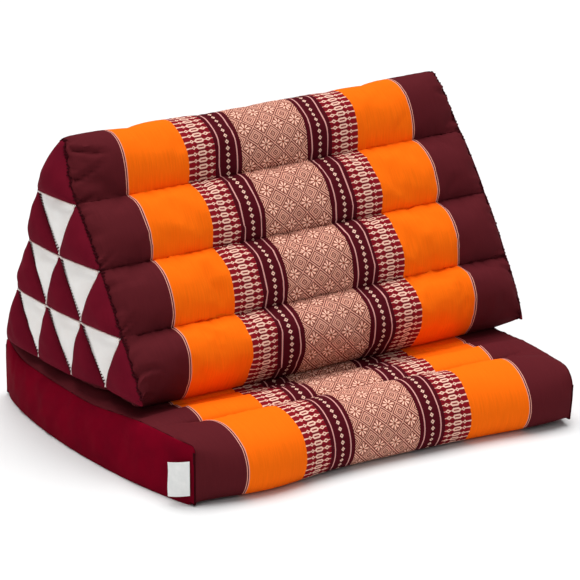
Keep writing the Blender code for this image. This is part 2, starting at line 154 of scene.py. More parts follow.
# The threads' radii; where a whip stitch starts and ends, as (back over the cover or on over the panel, outwards or
# inwards, along the seam); and the shares of a white triangle between which its teeth of thread run.
THREAD_RADIUS, TOOTH_RADIUS = 0.00075, 0.00085
WHIP_START, WHIP_END = (0.0042, 0.0012, 0.0012), (0.0022, 0.0018, 0.0008)
TOOTH_FROM, TOOTH_TO, TOOTH_SLANT = 0.020, 0.090, 0.012
HINGE_THICKNESS, TAG_THICKNESS = 0.0012, 0.0006

# An edge of the cloth is drawn sharp where its faces meet at more than this.
SHARP_ANGLE = math.radians(60.0)
CLOTH_FRAMES = 20

# The photograph's camera: its focal length and frame in pixels, its place in the maker's frame, and its turn.
FOCAL_PIXELS, PHOTO_PIXELS = 2904.0, 580.0
SENSOR_WIDTH = 36.0
CAMERA_PLACE = np.array([-1.669, -2.312, 1.132])
CAMERA_AZIMUTH, CAMERA_ELEVATION = math.radians(-33.69), math.radians(18.42)


def linear(colour):
    """An sRGB hex colour as linear RGB, by the standard's own curve."""
    parts = [int(colour[i : i + 2], 16) / 255 for i in (1, 3, 5)]
    return tuple(c / 12.92 if c <= 0.04045 else ((c + 0.055) / 1.055) ** 2.4 for c in parts)


def size_of(name, text, default):
    """A length that a user may change, in metres."""
    return bpy.props.FloatProperty(name=name, description=text, default=default, min=0.0, unit="LENGTH", precision=4)


def colour_of(name, text, default):
    """A cloth or thread colour that a user may change."""
    return bpy.props.FloatVectorProperty(
        name=name, description=text, default=linear(default), size=3, min=0.0, max=1.0, subtype="COLOR"
    )


class CushionSizes(bpy.types.PropertyGroup):
    """How full each piece is, and how fine its sewing."""

    wedge_half: size_of("Wedge half width", "From the wedge's middle to its end seams", 0.2475)
    wedge_puff: size_of("Wedge roll height", "How far a sewn roll stands out past its seams", 0.0170)
    wedge_taper: size_of("End taper", "How far from the end seams the rolls start to draw in", 0.0550)
    top_crown: size_of("Top triangle crown", "How far the filled triangle at the ridge stands out", 0.0160)
    pocket_crown: size_of("Filled triangle crown", "How far the other filled triangles stand out", 0.0115)
    plain_crown: size_of("White triangle crown", "How far the white triangles stand out", 0.0040)
    panel_dome: size_of("End panel dome", "How far each whole end panel stands out in its middle", 0.0060)
    mat_puff: size_of("Mat roll height", "How far the mat's sewn rolls stand out", 0.0085)
    band_crown: size_of("Side band crown", "How far the mat's side bands stand out", 0.0060)
    pucker: size_of("Pucker depth", "How deep the cloth gathers along its seams", 0.0007)
    seam_rib: size_of("Seam rib radius", "The radius of the sewn rib round each end panel", 0.0009)
    stitch_pitch: size_of("Stitch pitch", "From one whip stitch to the next", 0.0036)


class CushionColours(bpy.types.PropertyGroup):
    """The dyed yarns and cloths."""

    orange: colour_of("Orange", "The plain orange stripe", "#fb6d0c")
    brown: colour_of("Brown", "The plain outer stripe", "#571b21")
    stripe: colour_of("Dark stripe", "The stripes beside the middle panel", "#4c0e18")
    ground_red: colour_of("Border ground", "The ground behind the border's motifs", "#84141f")
    pink: colour_of("Pink lines", "The thin lines", "#d89a94")
    cream: colour_of("Motif yarn", "The border's motifs", "#eabfab")
    salmon: colour_of("Middle ground", "The middle panel's ground", "#f8c0a6")
    crimson: colour_of("Crimson", "The filled triangles", "#6b1123")
    band: colour_of("Side band", "The mat's side bands", "#740019")
    white: colour_of("White", "The white triangles", "#fcfaf7")


def arc_spacing(steps):
    """Shares from 0 towards 1, close together at both ends: half a cosine wave."""
    return (1 - np.cos(np.pi * np.arange(steps) / steps)) / 2


def cubic(start, first, last, end, t):
    """Points of a cubic curve with two handles, at each t."""
    t = t[:, None]
    return start * (1 - t) ** 3 + 3 * first * t * (1 - t) ** 2 + 3 * last * t**2 * (1 - t) + end * t**3


def to_left(start, end):
    """The unit vector to the left of the way from start to end."""
    along = end - start
    return np.array([-along[1], along[0]]) / np.linalg.norm(along)


def puff(start, end, height, t):
    """A sewn channel: the chord from seam to seam plus height times (4t(1-t)) to a power, which is a flat crown."""
    t = t[:, None]
    return start + (end - start) * t + to_left(start, end) * height * (4 * t * (1 - t)) ** CROWN_POWER


def side_seams(start, end, bow):
    """The seams along one face of the wedge, on an arc that stands out by bow times a half sine."""
    shares = np.arange(ROWS + 1) / ROWS
    return [start + (end - start) * s + to_left(start, end) * bow * math.sin(math.pi * s) for s in shares]


def wedge_seams():
    """The seams of the front slope upwards, the rear slope downwards and the base forwards."""
    front = side_seams(FRONT_CORNER, APEX, SLOPE_BOW)
    rear = side_seams(APEX, REAR_CORNER, SLOPE_BOW)
    base = side_seams(REAR_CORNER, FRONT_CORNER, 0.0)
    for seams, shifts in ((front, FRONT_SHIFTS), (rear, REAR_SHIFTS), (base, BASE_SHIFTS)):
        for k, shift in shifts.items():
            seams[k] = seams[k] + shift
    return front, rear, base


def wedge_rings(sizes, steps):
    """The wedge's closed section at the end seams and along the middle, as two arrays of (y, z).

    Each of the twelve channels has the same number of steps. The three pairs of channels that meet at a corner are
    two small puffs at the end seams, with a short quadratic curve for a tip, and one fat cubic roll in the middle.
    """
    front, rear, base = wedge_seams()
    t, wide = arc_spacing(steps), arc_spacing(2 * steps)
    drawn, full = [], []

    def corner(before, tip, after, roll, heights):
        out = (tip - (before + after) / 2) / np.linalg.norm(tip - (before + after) / 2) * roll[0]
        spread = (after - before) * roll[1]
        first, last = (before + tip * 2) / 3 + out - spread, (after + tip * 2) / 3 + out + spread
        small = np.concatenate([puff(before, tip, heights[0], t), puff(tip, after, heights[1], t)])
        near, far = steps - TIP_STEPS, steps + TIP_STEPS
        u = np.linspace(0, 1, far - near + 1)[:, None]
        small[near : far + 1] = small[near] * (1 - u) ** 2 + 2 * u * (1 - u) * tip + small[far] * u**2
        drawn.append(small)
        full.append(cubic(before, first, last, after, wide))

    def channels(seams, heights):
        for k in (1, 2):
            drawn.append(puff(seams[k], seams[k + 1], heights[k], t))
            full.append(puff(seams[k], seams[k + 1], sizes.wedge_puff, t))

    corner(base[3], front[0], front[1], FOOT_ROLL, (BASE_END_PUFFS[3], FRONT_END_PUFFS[0]))
    channels(front, FRONT_END_PUFFS)
    corner(front[3], front[4], rear[1], RIDGE_ROLL, (FRONT_END_PUFFS[3], REAR_END_PUFFS[0]))
    channels(rear, REAR_END_PUFFS)
    corner(rear[3], rear[4], base[1], FOOT_ROLL, (REAR_END_PUFFS[3], BASE_END_PUFFS[0]))
    channels(base, BASE_END_PUFFS)
    return np.concatenate(drawn), np.concatenate(full)


def drawn_half(sizes, height, side):
    """The wedge's half width at a height: full up to DRAW_START, then less by RIDGE_DRAW times a power.

    On the right, where side is positive, it also falls evenly to RIGHT_FOOT less over the lowest row.
    """
    share = np.clip((height - DRAW_START) / (APEX[1] - DRAW_START), 0, None)
    foot = np.clip(1 - (height - FRONT_CORNER[1]) / FOOT_HEIGHT, 0, 1) * (side > 0)
    return sizes.wedge_half - RIDGE_DRAW * share**DRAW_POWER - RIGHT_FOOT * foot


def tilted(sizes, x, z):
    """The height of a point of the wedge, whose ridge rises to the right in proportion to x and to its height."""
    share = np.clip((z - FRONT_CORNER[1]) / (APEX[1] - FRONT_CORNER[1]), 0, None)
    return z + RIDGE_TILT / 2 * x / sizes.wedge_half * share


def fullness(x, half, taper):
    """How full the cloth is at x: 1 in the middle, then a quarter round down to 0 at the end seam."""
    share = np.clip((np.abs(x) - half + taper) / taper, 0, 1)
    return np.sqrt(1 - share**2)


def stations(half, taper, fine, middle):
    """Places along the width: fine steps on a quarter cosine in each taper, and even steps between."""
    near = half - taper + taper * np.sin(np.pi / 2 * np.arange(fine + 1) / fine)
    return np.concatenate([-near[::-1], np.linspace(-near[0], near[0], middle + 1)[1:-1], near])


def waves(values, seed, shortest, longest):
    """An even wobble of about -1 to 1: seven sines with seeded lengths and phases, over the root of seven."""
    count = 7
    rng = np.random.default_rng(seed)
    lengths = np.geomspace(shortest, longest, count) * rng.uniform(0.9, 1.1, count)
    phases = rng.uniform(0, 2 * np.pi, count)
    total = sum(np.sin(2 * np.pi * values / length + phase) for length, phase in zip(lengths, phases))
    return total / math.sqrt(count)


def mottle(across, along, seed, shortest, longest):
    """The same over a surface: nine plane waves in seeded directions."""
    count = 9
    rng = np.random.default_rng(seed)
    lengths = np.geomspace(shortest, longest, count)
    turns, phases = rng.uniform(0, 2 * np.pi, count), rng.uniform(0, 2 * np.pi, count)
    total = 0.0
    for length, turn, phase in zip(lengths, turns, phases):
        total = total + np.sin(2 * np.pi * (across * math.cos(turn) + along * math.sin(turn)) / length + phase)
    return total / math.sqrt(count)


def grid_normals(points, closed):
    """Unit normals of a grid of points: the cross product of its two central differences."""
    across = np.gradient(points, axis=0)
    along = (np.roll(points, -1, 1) - np.roll(points, 1, 1)) if closed else np.gradient(points, axis=1)
    normals = np.cross(along, across)
    return normals / np.maximum(np.linalg.norm(normals, axis=-1, keepdims=True), 1e-9)


def arc_lengths(points):
    """The distance along a row of points, from 0 at the first."""
    return np.concatenate([[0.0], np.cumsum(np.linalg.norm(np.diff(points, axis=0), axis=1))])


def grid_quads(rows, columns, closed=False):
    """Quads of a grid stored row by row; a closed one joins its last column to its first."""
    r, c = np.meshgrid(np.arange(rows - 1), np.arange(columns if closed else columns - 1), indexing="ij")
    after = (c + 1) % columns
    quads = np.stack([r * columns + c, r * columns + after, (r + 1) * columns + after, (r + 1) * columns + c], -1)
    return quads.reshape(-1, 4)


def grid_uvs(across, along):
    """The corner coordinates of such quads, from the cloth's coordinate at each row and at each column's edge."""
    r, c = np.meshgrid(np.arange(len(across) - 1), np.arange(len(along) - 1), indexing="ij")
    corners = [(r, c), (r, c + 1), (r + 1, c + 1), (r + 1, c)]
    return np.stack([np.stack([across[a], along[b]], -1) for a, b in corners], 2).reshape(-1, 4, 2)


def sew(name, points, groups, cloths):
    """Makes one object from points in the maker's frame and groups of faces (indices, uvs or None, cloth's number).

    Faces are turned to point outwards by the sign of the volume that they enclose.
    """
    points = np.asarray(points, dtype=float).reshape(-1, 3) + MAKER_SHIFT
    volume = 0.0
    for faces, _, _ in groups:
        corners = points[faces]
        for k in range(1, faces.shape[1] - 1):
            volume += np.einsum("ij,ij->", corners[:, 0], np.cross(corners[:, k], corners[:, k + 1]))
    if volume < 0:
        groups = [(f[:, ::-1], None if uv is None else uv[:, ::-1], m) for f, uv, m in groups]
    mesh = bpy.data.meshes.new(name)
    mesh.from_pydata(points.tolist(), [], [face for faces, _, _ in groups for face in faces.tolist()])
    uvs = [np.zeros((*f.shape, 2)) if uv is None else uv for f, uv, _ in groups]
    layer = mesh.uv_layers.new(name="Cloth")
    layer.data.foreach_set("uv", np.concatenate([uv.reshape(-1) for uv in uvs]).astype(np.float32))
    mesh.polygons.foreach_set("material_index", np.concatenate([np.full(len(f), m) for f, _, m in groups]))
    for cloth in cloths:
        mesh.materials.append(cloth_named(cloth))
    mesh.shade_smooth()
    mesh.set_sharp_from_angle(angle=SHARP_ANGLE)
    piece = bpy.data.objects.new(name, mesh)
    bpy.context.scene.collection.objects.link(piece)
    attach(piece, "root")
    return piece


def sew_plain(name, shape, cloth):
    """Makes one object of one cloth or thread from a shape, which is points and lists of faces."""
    points, groups = shape
    return sew(name, points, [(faces, None, 0) for faces in groups], [cloth])


def shell(front, back):
    """A closed shell from two grids of points, its front and its back, as rows of loops with a face at each end."""
    loops = np.concatenate([front, back[:, ::-1]], axis=1)
    rows, columns = loops.shape[:2]
    ends = np.array([np.arange(columns)[::-1], (rows - 1) * columns + np.arange(columns)])
    return loops, [grid_quads(rows, columns, closed=True), ends]


def tube(path, radius, sides=8, closed=False):
    """A round rib along a path: circles of the radius in the planes square to it, as points and faces."""
    path = np.asarray(path)
    along = (np.roll(path, -1, 0) - np.roll(path, 1, 0)) if closed else np.gradient(path, axis=0)
    along /= np.linalg.norm(along, axis=1, keepdims=True)
    guide = np.where(np.abs(along[:, :1]) < 0.9, [[1.0, 0.0, 0.0]], [[0.0, 0.0, 1.0]])
    first = np.cross(along, guide)
    first /= np.linalg.norm(first, axis=1, keepdims=True)
    second = np.cross(along, first)
    turn = 2 * np.pi * np.arange(sides) / sides
    ring = np.cos(turn)[None, :, None] * first[:, None] + np.sin(turn)[None, :, None] * second[:, None]
    points = (path[:, None] + radius * ring).reshape(-1, 3)
    quads = grid_quads(len(path), sides, closed=True)
    if closed:
        last = (len(path) - 1) * sides
        c = np.arange(sides)
        quads = np.concatenate([quads, np.stack([last + c, last + (c + 1) % sides, (c + 1) % sides, c], -1)])
        return points, [quads]
    ends = np.array([np.arange(sides)[::-1], (len(path) - 1) * sides + np.arange(sides)])
    return points, [quads, ends]


def join(shapes):
    """One set of points and faces from several."""
    points, groups, start = [], [], 0
    for shape_points, shape_groups in shapes:
        points.append(shape_points)
        groups += [group + start for group in shape_groups]
        start += len(shape_points)
    return np.concatenate(points), groups


def spindles(starts, ends, out, radius, bow=0.0):
    """Short stitches from starts to ends: six-sided, full in the middle and thin where they enter the cloth.

    Each has four rings along its length, and its middle rings are lifted along out by bow.
    """
    starts, ends, out = (np.asarray(a, dtype=float) for a in (starts, ends, out))
    along = ends - starts
    axis = along / np.linalg.norm(along, axis=1, keepdims=True)
    out = out / np.linalg.norm(out, axis=1, keepdims=True)
    side = np.cross(axis, out)
    places = np.array([0.0, 0.3, 0.7, 1.0])
    widths = np.array([0.35, 1.0, 1.0, 0.35]) * radius
    lifts = np.array([0.0, 1.0, 1.0, 0.0]) * bow
    turn = 2 * np.pi * np.arange(6) / 6
    centre = starts[:, None] + along[:, None] * places[None, :, None] + out[:, None] * lifts[None, :, None]
    ring = np.cos(turn)[None, :, None] * side[:, None] + np.sin(turn)[None, :, None] * out[:, None]
    points = centre[:, :, None] + widths[None, :, None, None] * ring[:, None]
    count = 4 * 6
    quads = grid_quads(4, 6, closed=True)
    caps = np.array([np.arange(6)[::-1], 18 + np.arange(6)])
    shift = count * np.arange(len(starts))[:, None, None]
    return points.reshape(-1, 3), [(quads[None] + shift).reshape(-1, 4), (caps[None] + shift).reshape(-1, 6)]


def evenly(path, pitch):
    """Points along a path at an even pitch, with the unit direction of the path at each."""
    lengths = arc_lengths(path)
    places = np.arange(pitch / 2, lengths[-1], pitch)
    points = np.stack([np.interp(places, lengths, path[:, k]) for k in range(3)], -1)
    ahead = np.stack([np.interp(places + pitch / 4, lengths, path[:, k]) for k in range(3)], -1)
    behind = np.stack([np.interp(places - pitch / 4, lengths, path[:, k]) for k in range(3)], -1)
    direction = ahead - behind
    return points, direction / np.linalg.norm(direction, axis=1, keepdims=True)


# Creases in the wedge's cover, each from (x, channel) to (x, channel), with its depth and half width. Channels count
# along the section from the seam before the front foot: the slope's four are 1 to 5, and the ridge is at 5.
CREASES = (
    ((-0.2430, 4.72), (-0.1980, 4.66), 0.0040, 0.0028),
    ((-0.2440, 4.42), (-0.2060, 4.58), 0.0034, 0.0028),
    ((-0.2450, 4.08), (-0.2230, 4.20), 0.0024, 0.0026),
    ((-0.2470, 3.18), (-0.2260, 3.30), 0.0024, 0.0026),
    ((-0.2470, 2.22), (-0.2270, 2.35), 0.0024, 0.0026),
    ((-0.2470, 1.40), (-0.2190, 1.30), 0.0030, 0.0028),
    ((-0.2470, 1.10), (-0.2240, 1.00), 0.0026, 0.0028),
    ((0.2440, 4.60), (0.2200, 4.66), 0.0026, 0.0028),
    ((0.2470, 2.45), (0.2280, 2.52), 0.0020, 0.0028),
    ((-0.2440, 5.55), (-0.2150, 5.45), 0.0026, 0.0028),
    ((0.2440, 5.60), (0.2100, 5.52), 0.0026, 0.0028),
)


# Creases that run down the side bands from their top seams: where, how much they lean, and how deep they are.
BAND_CREASES = ((0.345, 0.9, 0.0026), (0.318, 1.3, 0.0018), (0.370, 0.4, 0.0016), (0.236, 0.8, 0.0009))


def wedge_surface(sizes):
    """The cover's points as a grid, the stations across it, and its arc lengths round it.

    A point is the blend of the end section and the full section by the fullness at its x. Then it moves along its
    normal by the puckers, which fade away from the seams, by a broad unevenness, and by the creases.
    """
    steps = WEDGE_STEPS
    drawn, full = wedge_rings(sizes, steps)
    across = stations(sizes.wedge_half, sizes.wedge_taper, WEDGE_TAPER_ROWS, WEDGE_MIDDLE_ROWS)
    share = fullness(across, sizes.wedge_half, sizes.wedge_taper)[:, None, None]
    section = drawn[None] * (1 - share) + full[None] * share
    height = np.maximum(section[..., 1], CONTACT_HEIGHT + GAP)
    x = np.broadcast_to(across[:, None], height.shape)
    near_end = np.sign(x) * (np.abs(x) / sizes.wedge_half) ** DRAW_REACH
    drawn_in = (sizes.wedge_half - drawn_half(sizes, height, x)) * near_end
    points = np.stack([x - drawn_in, section[..., 0], tilted(sizes, x, height)], -1)
    around = arc_lengths(np.concatenate([full, full[:1]]))
    channel = np.arange(len(full)) / steps
    seam = np.round(channel)
    (pucker_waves, pucker_reach), (gather_waves, gather_reach) = WEDGE_PUCKERS, WEDGE_GATHERS
    (wander_waves, wander_reach, wander_depth), (lump_waves, lump_reach, lump_depth) = WEDGE_WANDER, WEDGE_LUMPS
    seam_place = np.interp(seam, np.arange(len(around)) / steps, around)
    apart = np.abs(around[:-1] - seam_place)
    is_seam = (seam % 4 != 1) & (seam < 12)
    fade = np.exp(-apart / pucker_reach) * is_seam
    puckers = np.zeros(height.shape)
    wander = np.zeros(height.shape)
    for k in range(13):
        at = (seam == k)[None, :]
        puckers = puckers + at * waves(x, 40 + k, *pucker_waves)
        wander = wander + at * waves(x, 80 + k, *wander_waves)
    inwards = sizes.wedge_half - np.abs(x)
    gathers = waves(around[:-1], 7, *gather_waves)[None, :] * np.exp(-inwards / gather_reach) * (inwards > 0)
    gathers = gathers * np.where(x < 0, 1.0, -1.0)
    lumps = mottle(x, around[None, :-1], 3, *lump_waves) * share[..., 0] * (1 - np.exp(-apart / lump_reach))
    depth = sizes.pucker * (0.7 * puckers * fade * share[..., 0] + 1.5 * gathers) + lump_depth * lumps
    for (x0, c0), (x1, c1), deep, half in CREASES:
        t = np.clip((x - x0) / (x1 - x0), 0, 1)
        beyond = np.abs(x - (x0 + (x1 - x0) * t))
        line = np.interp(c0 + (c1 - c0) * t, np.arange(len(around)) / steps, around)
        off = np.hypot(around[None, :-1] - line, beyond)
        depth = depth - deep * np.exp(-((off / half) ** 2)) * np.sin(np.pi * (0.25 + 0.75 * t))
        depth = depth + 0.5 * deep * np.exp(-(((off - 2.2 * half) / half) ** 2)) * (1 - t)
    normals = grid_normals(points, closed=True)
    outwards = np.sign(np.einsum("ijk,k->ij", normals[:, : steps * 6], np.array([0.0, -1.0, 0.6])).sum())
    points = points + normals * outwards * depth[..., None]
    sway = wander_depth * wander * np.exp(-((apart / wander_reach) ** 2)) * is_seam * share[..., 0]
    along = np.roll(points, -1, 1) - np.roll(points, 1, 1)
    along /= np.maximum(np.linalg.norm(along, axis=-1, keepdims=True), 1e-9)
    points = points + along * sway[..., None]
    points[..., 2] = np.maximum(points[..., 2], CONTACT_HEIGHT + GAP)
    return points, across, around


def panel_grid():
    """The seam crossings of an end panel as (y, z), keyed by (row, place): rows from the apex down, rear to front."""
    front, rear, base = wedge_seams()
    grid = {(ROWS, k): base[k] for k in range(ROWS + 1)}
    for row in range(ROWS):
        start, end = rear[row], front[ROWS - row]
        for k in range(row + 1):
            grid[row, k] = start + (end - start) * (k / max(row, 1))
    return grid


def panel_patches():
    """The small triangles as (name, keys, filled, outer edges as the number of the far corner and a puff's height)."""
    patches = []
    for row in range(ROWS):
        for k in range(row + 1):
            keys = ((row, k), (row + 1, k), (row + 1, k + 1))
            outer = [(2, REAR_END_PUFFS[row])] * (k == 0) + [(1, FRONT_END_PUFFS[ROWS - 1 - row])] * (k == row)
            outer += [(0, BASE_END_PUFFS[k])] * (row == ROWS - 1)
            patches.append((f"row{row + 1}_crimson{k + 1}", keys, True, outer))
        for k in range(row):
            keys = ((row + 1, k + 1), (row, k + 1), (row, k))
            patches.append((f"row{row + 1}_white{k + 1}", keys, False, []))
    return patches


def panel_dome(sizes, points):
    """How far the panel stands out at (y, z) points: 27 times the product of the three shares, times its dome."""
    corners = np.array([[*APEX, 1], [*FRONT_CORNER, 1], [*REAR_CORNER, 1]]).T
    homogeneous = np.concatenate([points, np.ones((len(points), 1))], axis=1)
    shares = np.clip(np.linalg.solve(corners, homogeneous.T), 0, 1)
    return sizes.panel_dome * 27 * np.prod(shares, axis=0)


def patch_points(sizes, keys, filled, outer, side, shares, seed=0):
    """Points of one small triangle's face at rows of three shares that add up to 1.

    The place is the mix of the corners; an edge on the panel's own edge bows out with the cover's small puffs. The
    face stands out by the panel's dome and by the crown times (27abc) to a power, and the corners stay low. The tip at
    the ridge drops by a parabola, and a white triangle is tucked in along a Gaussian line near its upper edge.
    """
    grid = panel_grid()
    corners = np.array([grid[key] for key in keys])
    flat = shares @ corners
    for far, height in outer:
        a, b = [n for n in range(3) if n != far]
        start, end = corners[a], corners[b]
        normal = to_left(start, end)
        normal = -normal if (corners[far] - start) @ normal > 0 else normal
        t = shares[:, b] / np.maximum(shares[:, a] + shares[:, b], 1e-6)
        bowed = height * (4 * t * (1 - t)).clip(0) ** CROWN_POWER * (1 - shares[:, far]) ** 3
        flat = flat + normal * bowed[:, None]
    if keys[0] == (0, 0):
        flat = flat - [0.0, TIP_DROP] * (np.clip((shares[:, :1] - TIP_FROM) / (1 - TIP_FROM), 0, None) ** 2)
    product = np.clip(27 * np.prod(shares, axis=1), 0, None)
    if filled:
        bulge = (sizes.top_crown if keys[0] == (0, 0) else sizes.pocket_crown) * product**0.5
    else:
        below = shares[:, 0]
        tuck = np.exp(-(((below - 0.13) / 0.05) ** 2)) * (shares[:, 1] / (1 - below).clip(0.05)) ** 2
        bulge = sizes.plain_crown * product**0.8 - WHITE_TUCK * tuck * (product > 0.02)
    uneven = mottle(flat[:, 0], flat[:, 1], 200 + seed, *PANEL_LUMPS[0]) * PANEL_LUMPS[1] * np.sqrt(product)
    seat = shares @ drawn_half(sizes, corners[:, 1], side) + GAP
    fill = 1.0 if side < 0 else RIGHT_FILL
    out = seat + PANEL_SEAT + fill * (shares @ panel_dome(sizes, corners) + bulge + uneven)
    return np.stack([side * out, flat[:, 0], tilted(sizes, side * sizes.wedge_half, flat[:, 1])], -1), seat


def triangle_net(steps):
    """A triangular grid: rows of shares, its triangles, and the indices round its rim."""
    nodes = [(i, j) for i in range(steps + 1) for j in range(steps + 1 - i)]
    index = {node: n for n, node in enumerate(nodes)}
    shares = np.array([(i, j, steps - i - j) for i, j in nodes]) / steps
    faces = [(index[i, j], index[i + 1, j], index[i, j + 1]) for i, j in nodes if i + j < steps]
    faces += [(index[i + 1, j], index[i + 1, j + 1], index[i, j + 1]) for i, j in nodes if i + j < steps - 1]
    rim = [index[i, 0] for i in range(steps)]
    rim += [index[steps - j, j] for j in range(steps)]
    rim += [index[0, steps - j] for j in range(steps)]
    return shares, np.array(faces), np.array(rim)


def patch_shape(sizes, patch, side, net, seed):
    """One closed small triangle: its face, its thin wall and its flat back, as points and faces."""
    _, keys, filled, outer = patch
    shares, faces, rim = net
    inner = shares * (1 - SEAM_SHARE) + SEAM_SHARE / 3
    points, seat = patch_points(sizes, keys, filled, outer, side, inner, seed)
    back = points[rim].copy()
    back[:, 0] = side * seat[rim]
    count = len(points)
    after = np.roll(np.arange(len(rim)), -1)
    wall = np.stack([rim, count + np.arange(len(rim)), count + after, rim[after]], -1)
    closing = count + np.arange(len(rim))[None, ::-1]
    return np.concatenate([points, back]), [faces, wall, closing]


def mat_place(side, depth, height, out=0.0):
    """Points of the mat for side from -1, its left end, to 1, its right end.

    x runs between the two ends, whose edges bow out by (4s(1-s)) to a power, more at the floor than at the top seam.
    The front edge is turned and has two Gaussian swells, and both fade to the straight rear edge. The right front
    corner is tucked in and up a little, more at the floor, and the tuck fades along both edges.
    """
    share = np.clip(depth / MAT_DEPTH, 0, 1)
    lift = np.clip(height / MAT_SEAM_HEIGHT, 0, 1)
    half = (MAT_FRONT_WIDTH + (MAT_REAR_WIDTH - MAT_FRONT_WIDTH) * share) / 2
    bowed = bow(share) * (MAT_BOW_FLOOR + (MAT_BOW_TOP - MAT_BOW_FLOOR) * lift) + out
    near = np.clip(side, 0, 1) ** 8 * np.exp(-((depth / TUCK_REACH) ** 2))
    tuck = (RIGHT_TUCK[0] + RIGHT_TUCK[1] * (1 - lift) ** 1.5) * near
    height = height + RIGHT_TUCK[2] * (1 - lift) ** 2 * near
    x = MAT_LEFT + half * (1 + side) + bowed * side - tuck
    swell = sum(reach * np.exp(-(((x - at) / SWELL_WIDTH) ** 2)) for at, reach in FRONT_SWELLS)
    ahead = np.clip(1 - depth / MAT_END_ROLL, 0, 1)
    y = MAT_REAR - (MAT_DEPTH - depth) * (1 + MAT_TURN * x) - swell * ahead
    return np.stack(np.broadcast_arrays(x, y, height), -1)


def bow(share):
    """From 0 at a long edge's corners to 1 half way along it."""
    return (4 * share * (1 - share)) ** BOW_POWER


def mat_seam_depths():
    """How far each seam of the mat's top lies behind its front edge."""
    return np.linspace(MAT_END_ROLL, MAT_DEPTH - MAT_END_ROLL, MAT_ROLLS - 1)


def mat_edge_height(depth, side):
    """The height of the mat's top edge at an end, which sags over its rear two thirds.

    The sag comes in by a smooth step and ends with a parabola up to the rear corner. The front corner is rounded by
    a quarter circle.
    """
    radius = MAT_CORNER_RADII[side > 0]
    fall = radius - np.sqrt(radius**2 - (radius - np.clip(depth + MAT_EDGE_OUT, 0, radius)) ** 2)
    share = depth / MAT_DEPTH
    step = np.clip((share - 0.16) / 0.36, 0, 1)
    sag = step**2 * (3 - 2 * step) * (1 - np.clip((share - 0.86) / 0.14, 0, 1) ** 2)
    return MAT_CORNER_HEIGHT - MAT_END_SAG * sag - fall


def mat_end(side, roll, t):
    """The mat's upper cloth at an end seam as (depth, z) rows: up, round the corner, along the top and down again."""
    radius = MAT_CORNER_RADII[side > 0]
    rise = roll // 3
    depths = mat_seam_depths()
    up = np.linspace(FLOOR_GROOVE, MAT_CORNER_HEIGHT - radius, rise + 1)[:-1]
    turn = np.linspace(0, np.pi / 2, rise + 1)[:-1]
    round_depth = -MAT_EDGE_OUT + radius * (1 - np.cos(turn))
    flat_depth = np.linspace(-MAT_EDGE_OUT + radius, depths[0], roll - 2 * rise + 1)[:-1]
    between = np.concatenate([a + (b - a) * t for a, b in zip(depths, depths[1:])])
    nearer = np.concatenate([round_depth, flat_depth])
    along = np.concatenate([nearer, between, [depths[-1]], MAT_DEPTH - nearer[::-1]])
    edge = np.stack([np.full(rise, -MAT_EDGE_OUT), up], axis=1)
    rear_up = np.linspace(FLOOR_GROOVE, MAT_CORNER_HEIGHT, rise + 1)[:-1]
    down = np.stack([np.full(rise, MAT_DEPTH + MAT_EDGE_OUT), rear_up[::-1]], axis=1)
    return np.concatenate([edge, np.stack([along, mat_edge_height(along, side)], axis=1), down])


def mat_middle(sizes, roll, puffs):
    """The mat's upper cloth along its middle as (depth, z) rows: an end roll, the sewn rolls and an end roll."""
    seams = [np.array([d, MAT_SEAM_HEIGHT]) for d in mat_seam_depths()]
    front, rear = np.array([0.0, FLOOR_GROOVE]), np.array([MAT_DEPTH, FLOOR_GROOVE])
    low, high = (np.array(p) for p in EDGE_ROLL)
    mirror, rear_edge = np.array([-1.0, 1.0]), np.array([MAT_DEPTH, 0.0])
    t = arc_spacing(puffs)
    rising = np.sin(np.pi / 2 * np.arange(roll) / roll)
    middle = [cubic(front, low, high, seams[0], rising)]
    middle += [puff(a, b, sizes.mat_puff, t) for a, b in zip(seams, seams[1:])]
    settling = 1 - np.sin(np.pi / 2 * (1 - np.arange(roll) / roll))
    middle.append(cubic(seams[-1], rear_edge + high * mirror, rear_edge + low * mirror, rear, settling))
    return np.concatenate([*middle, [rear]])


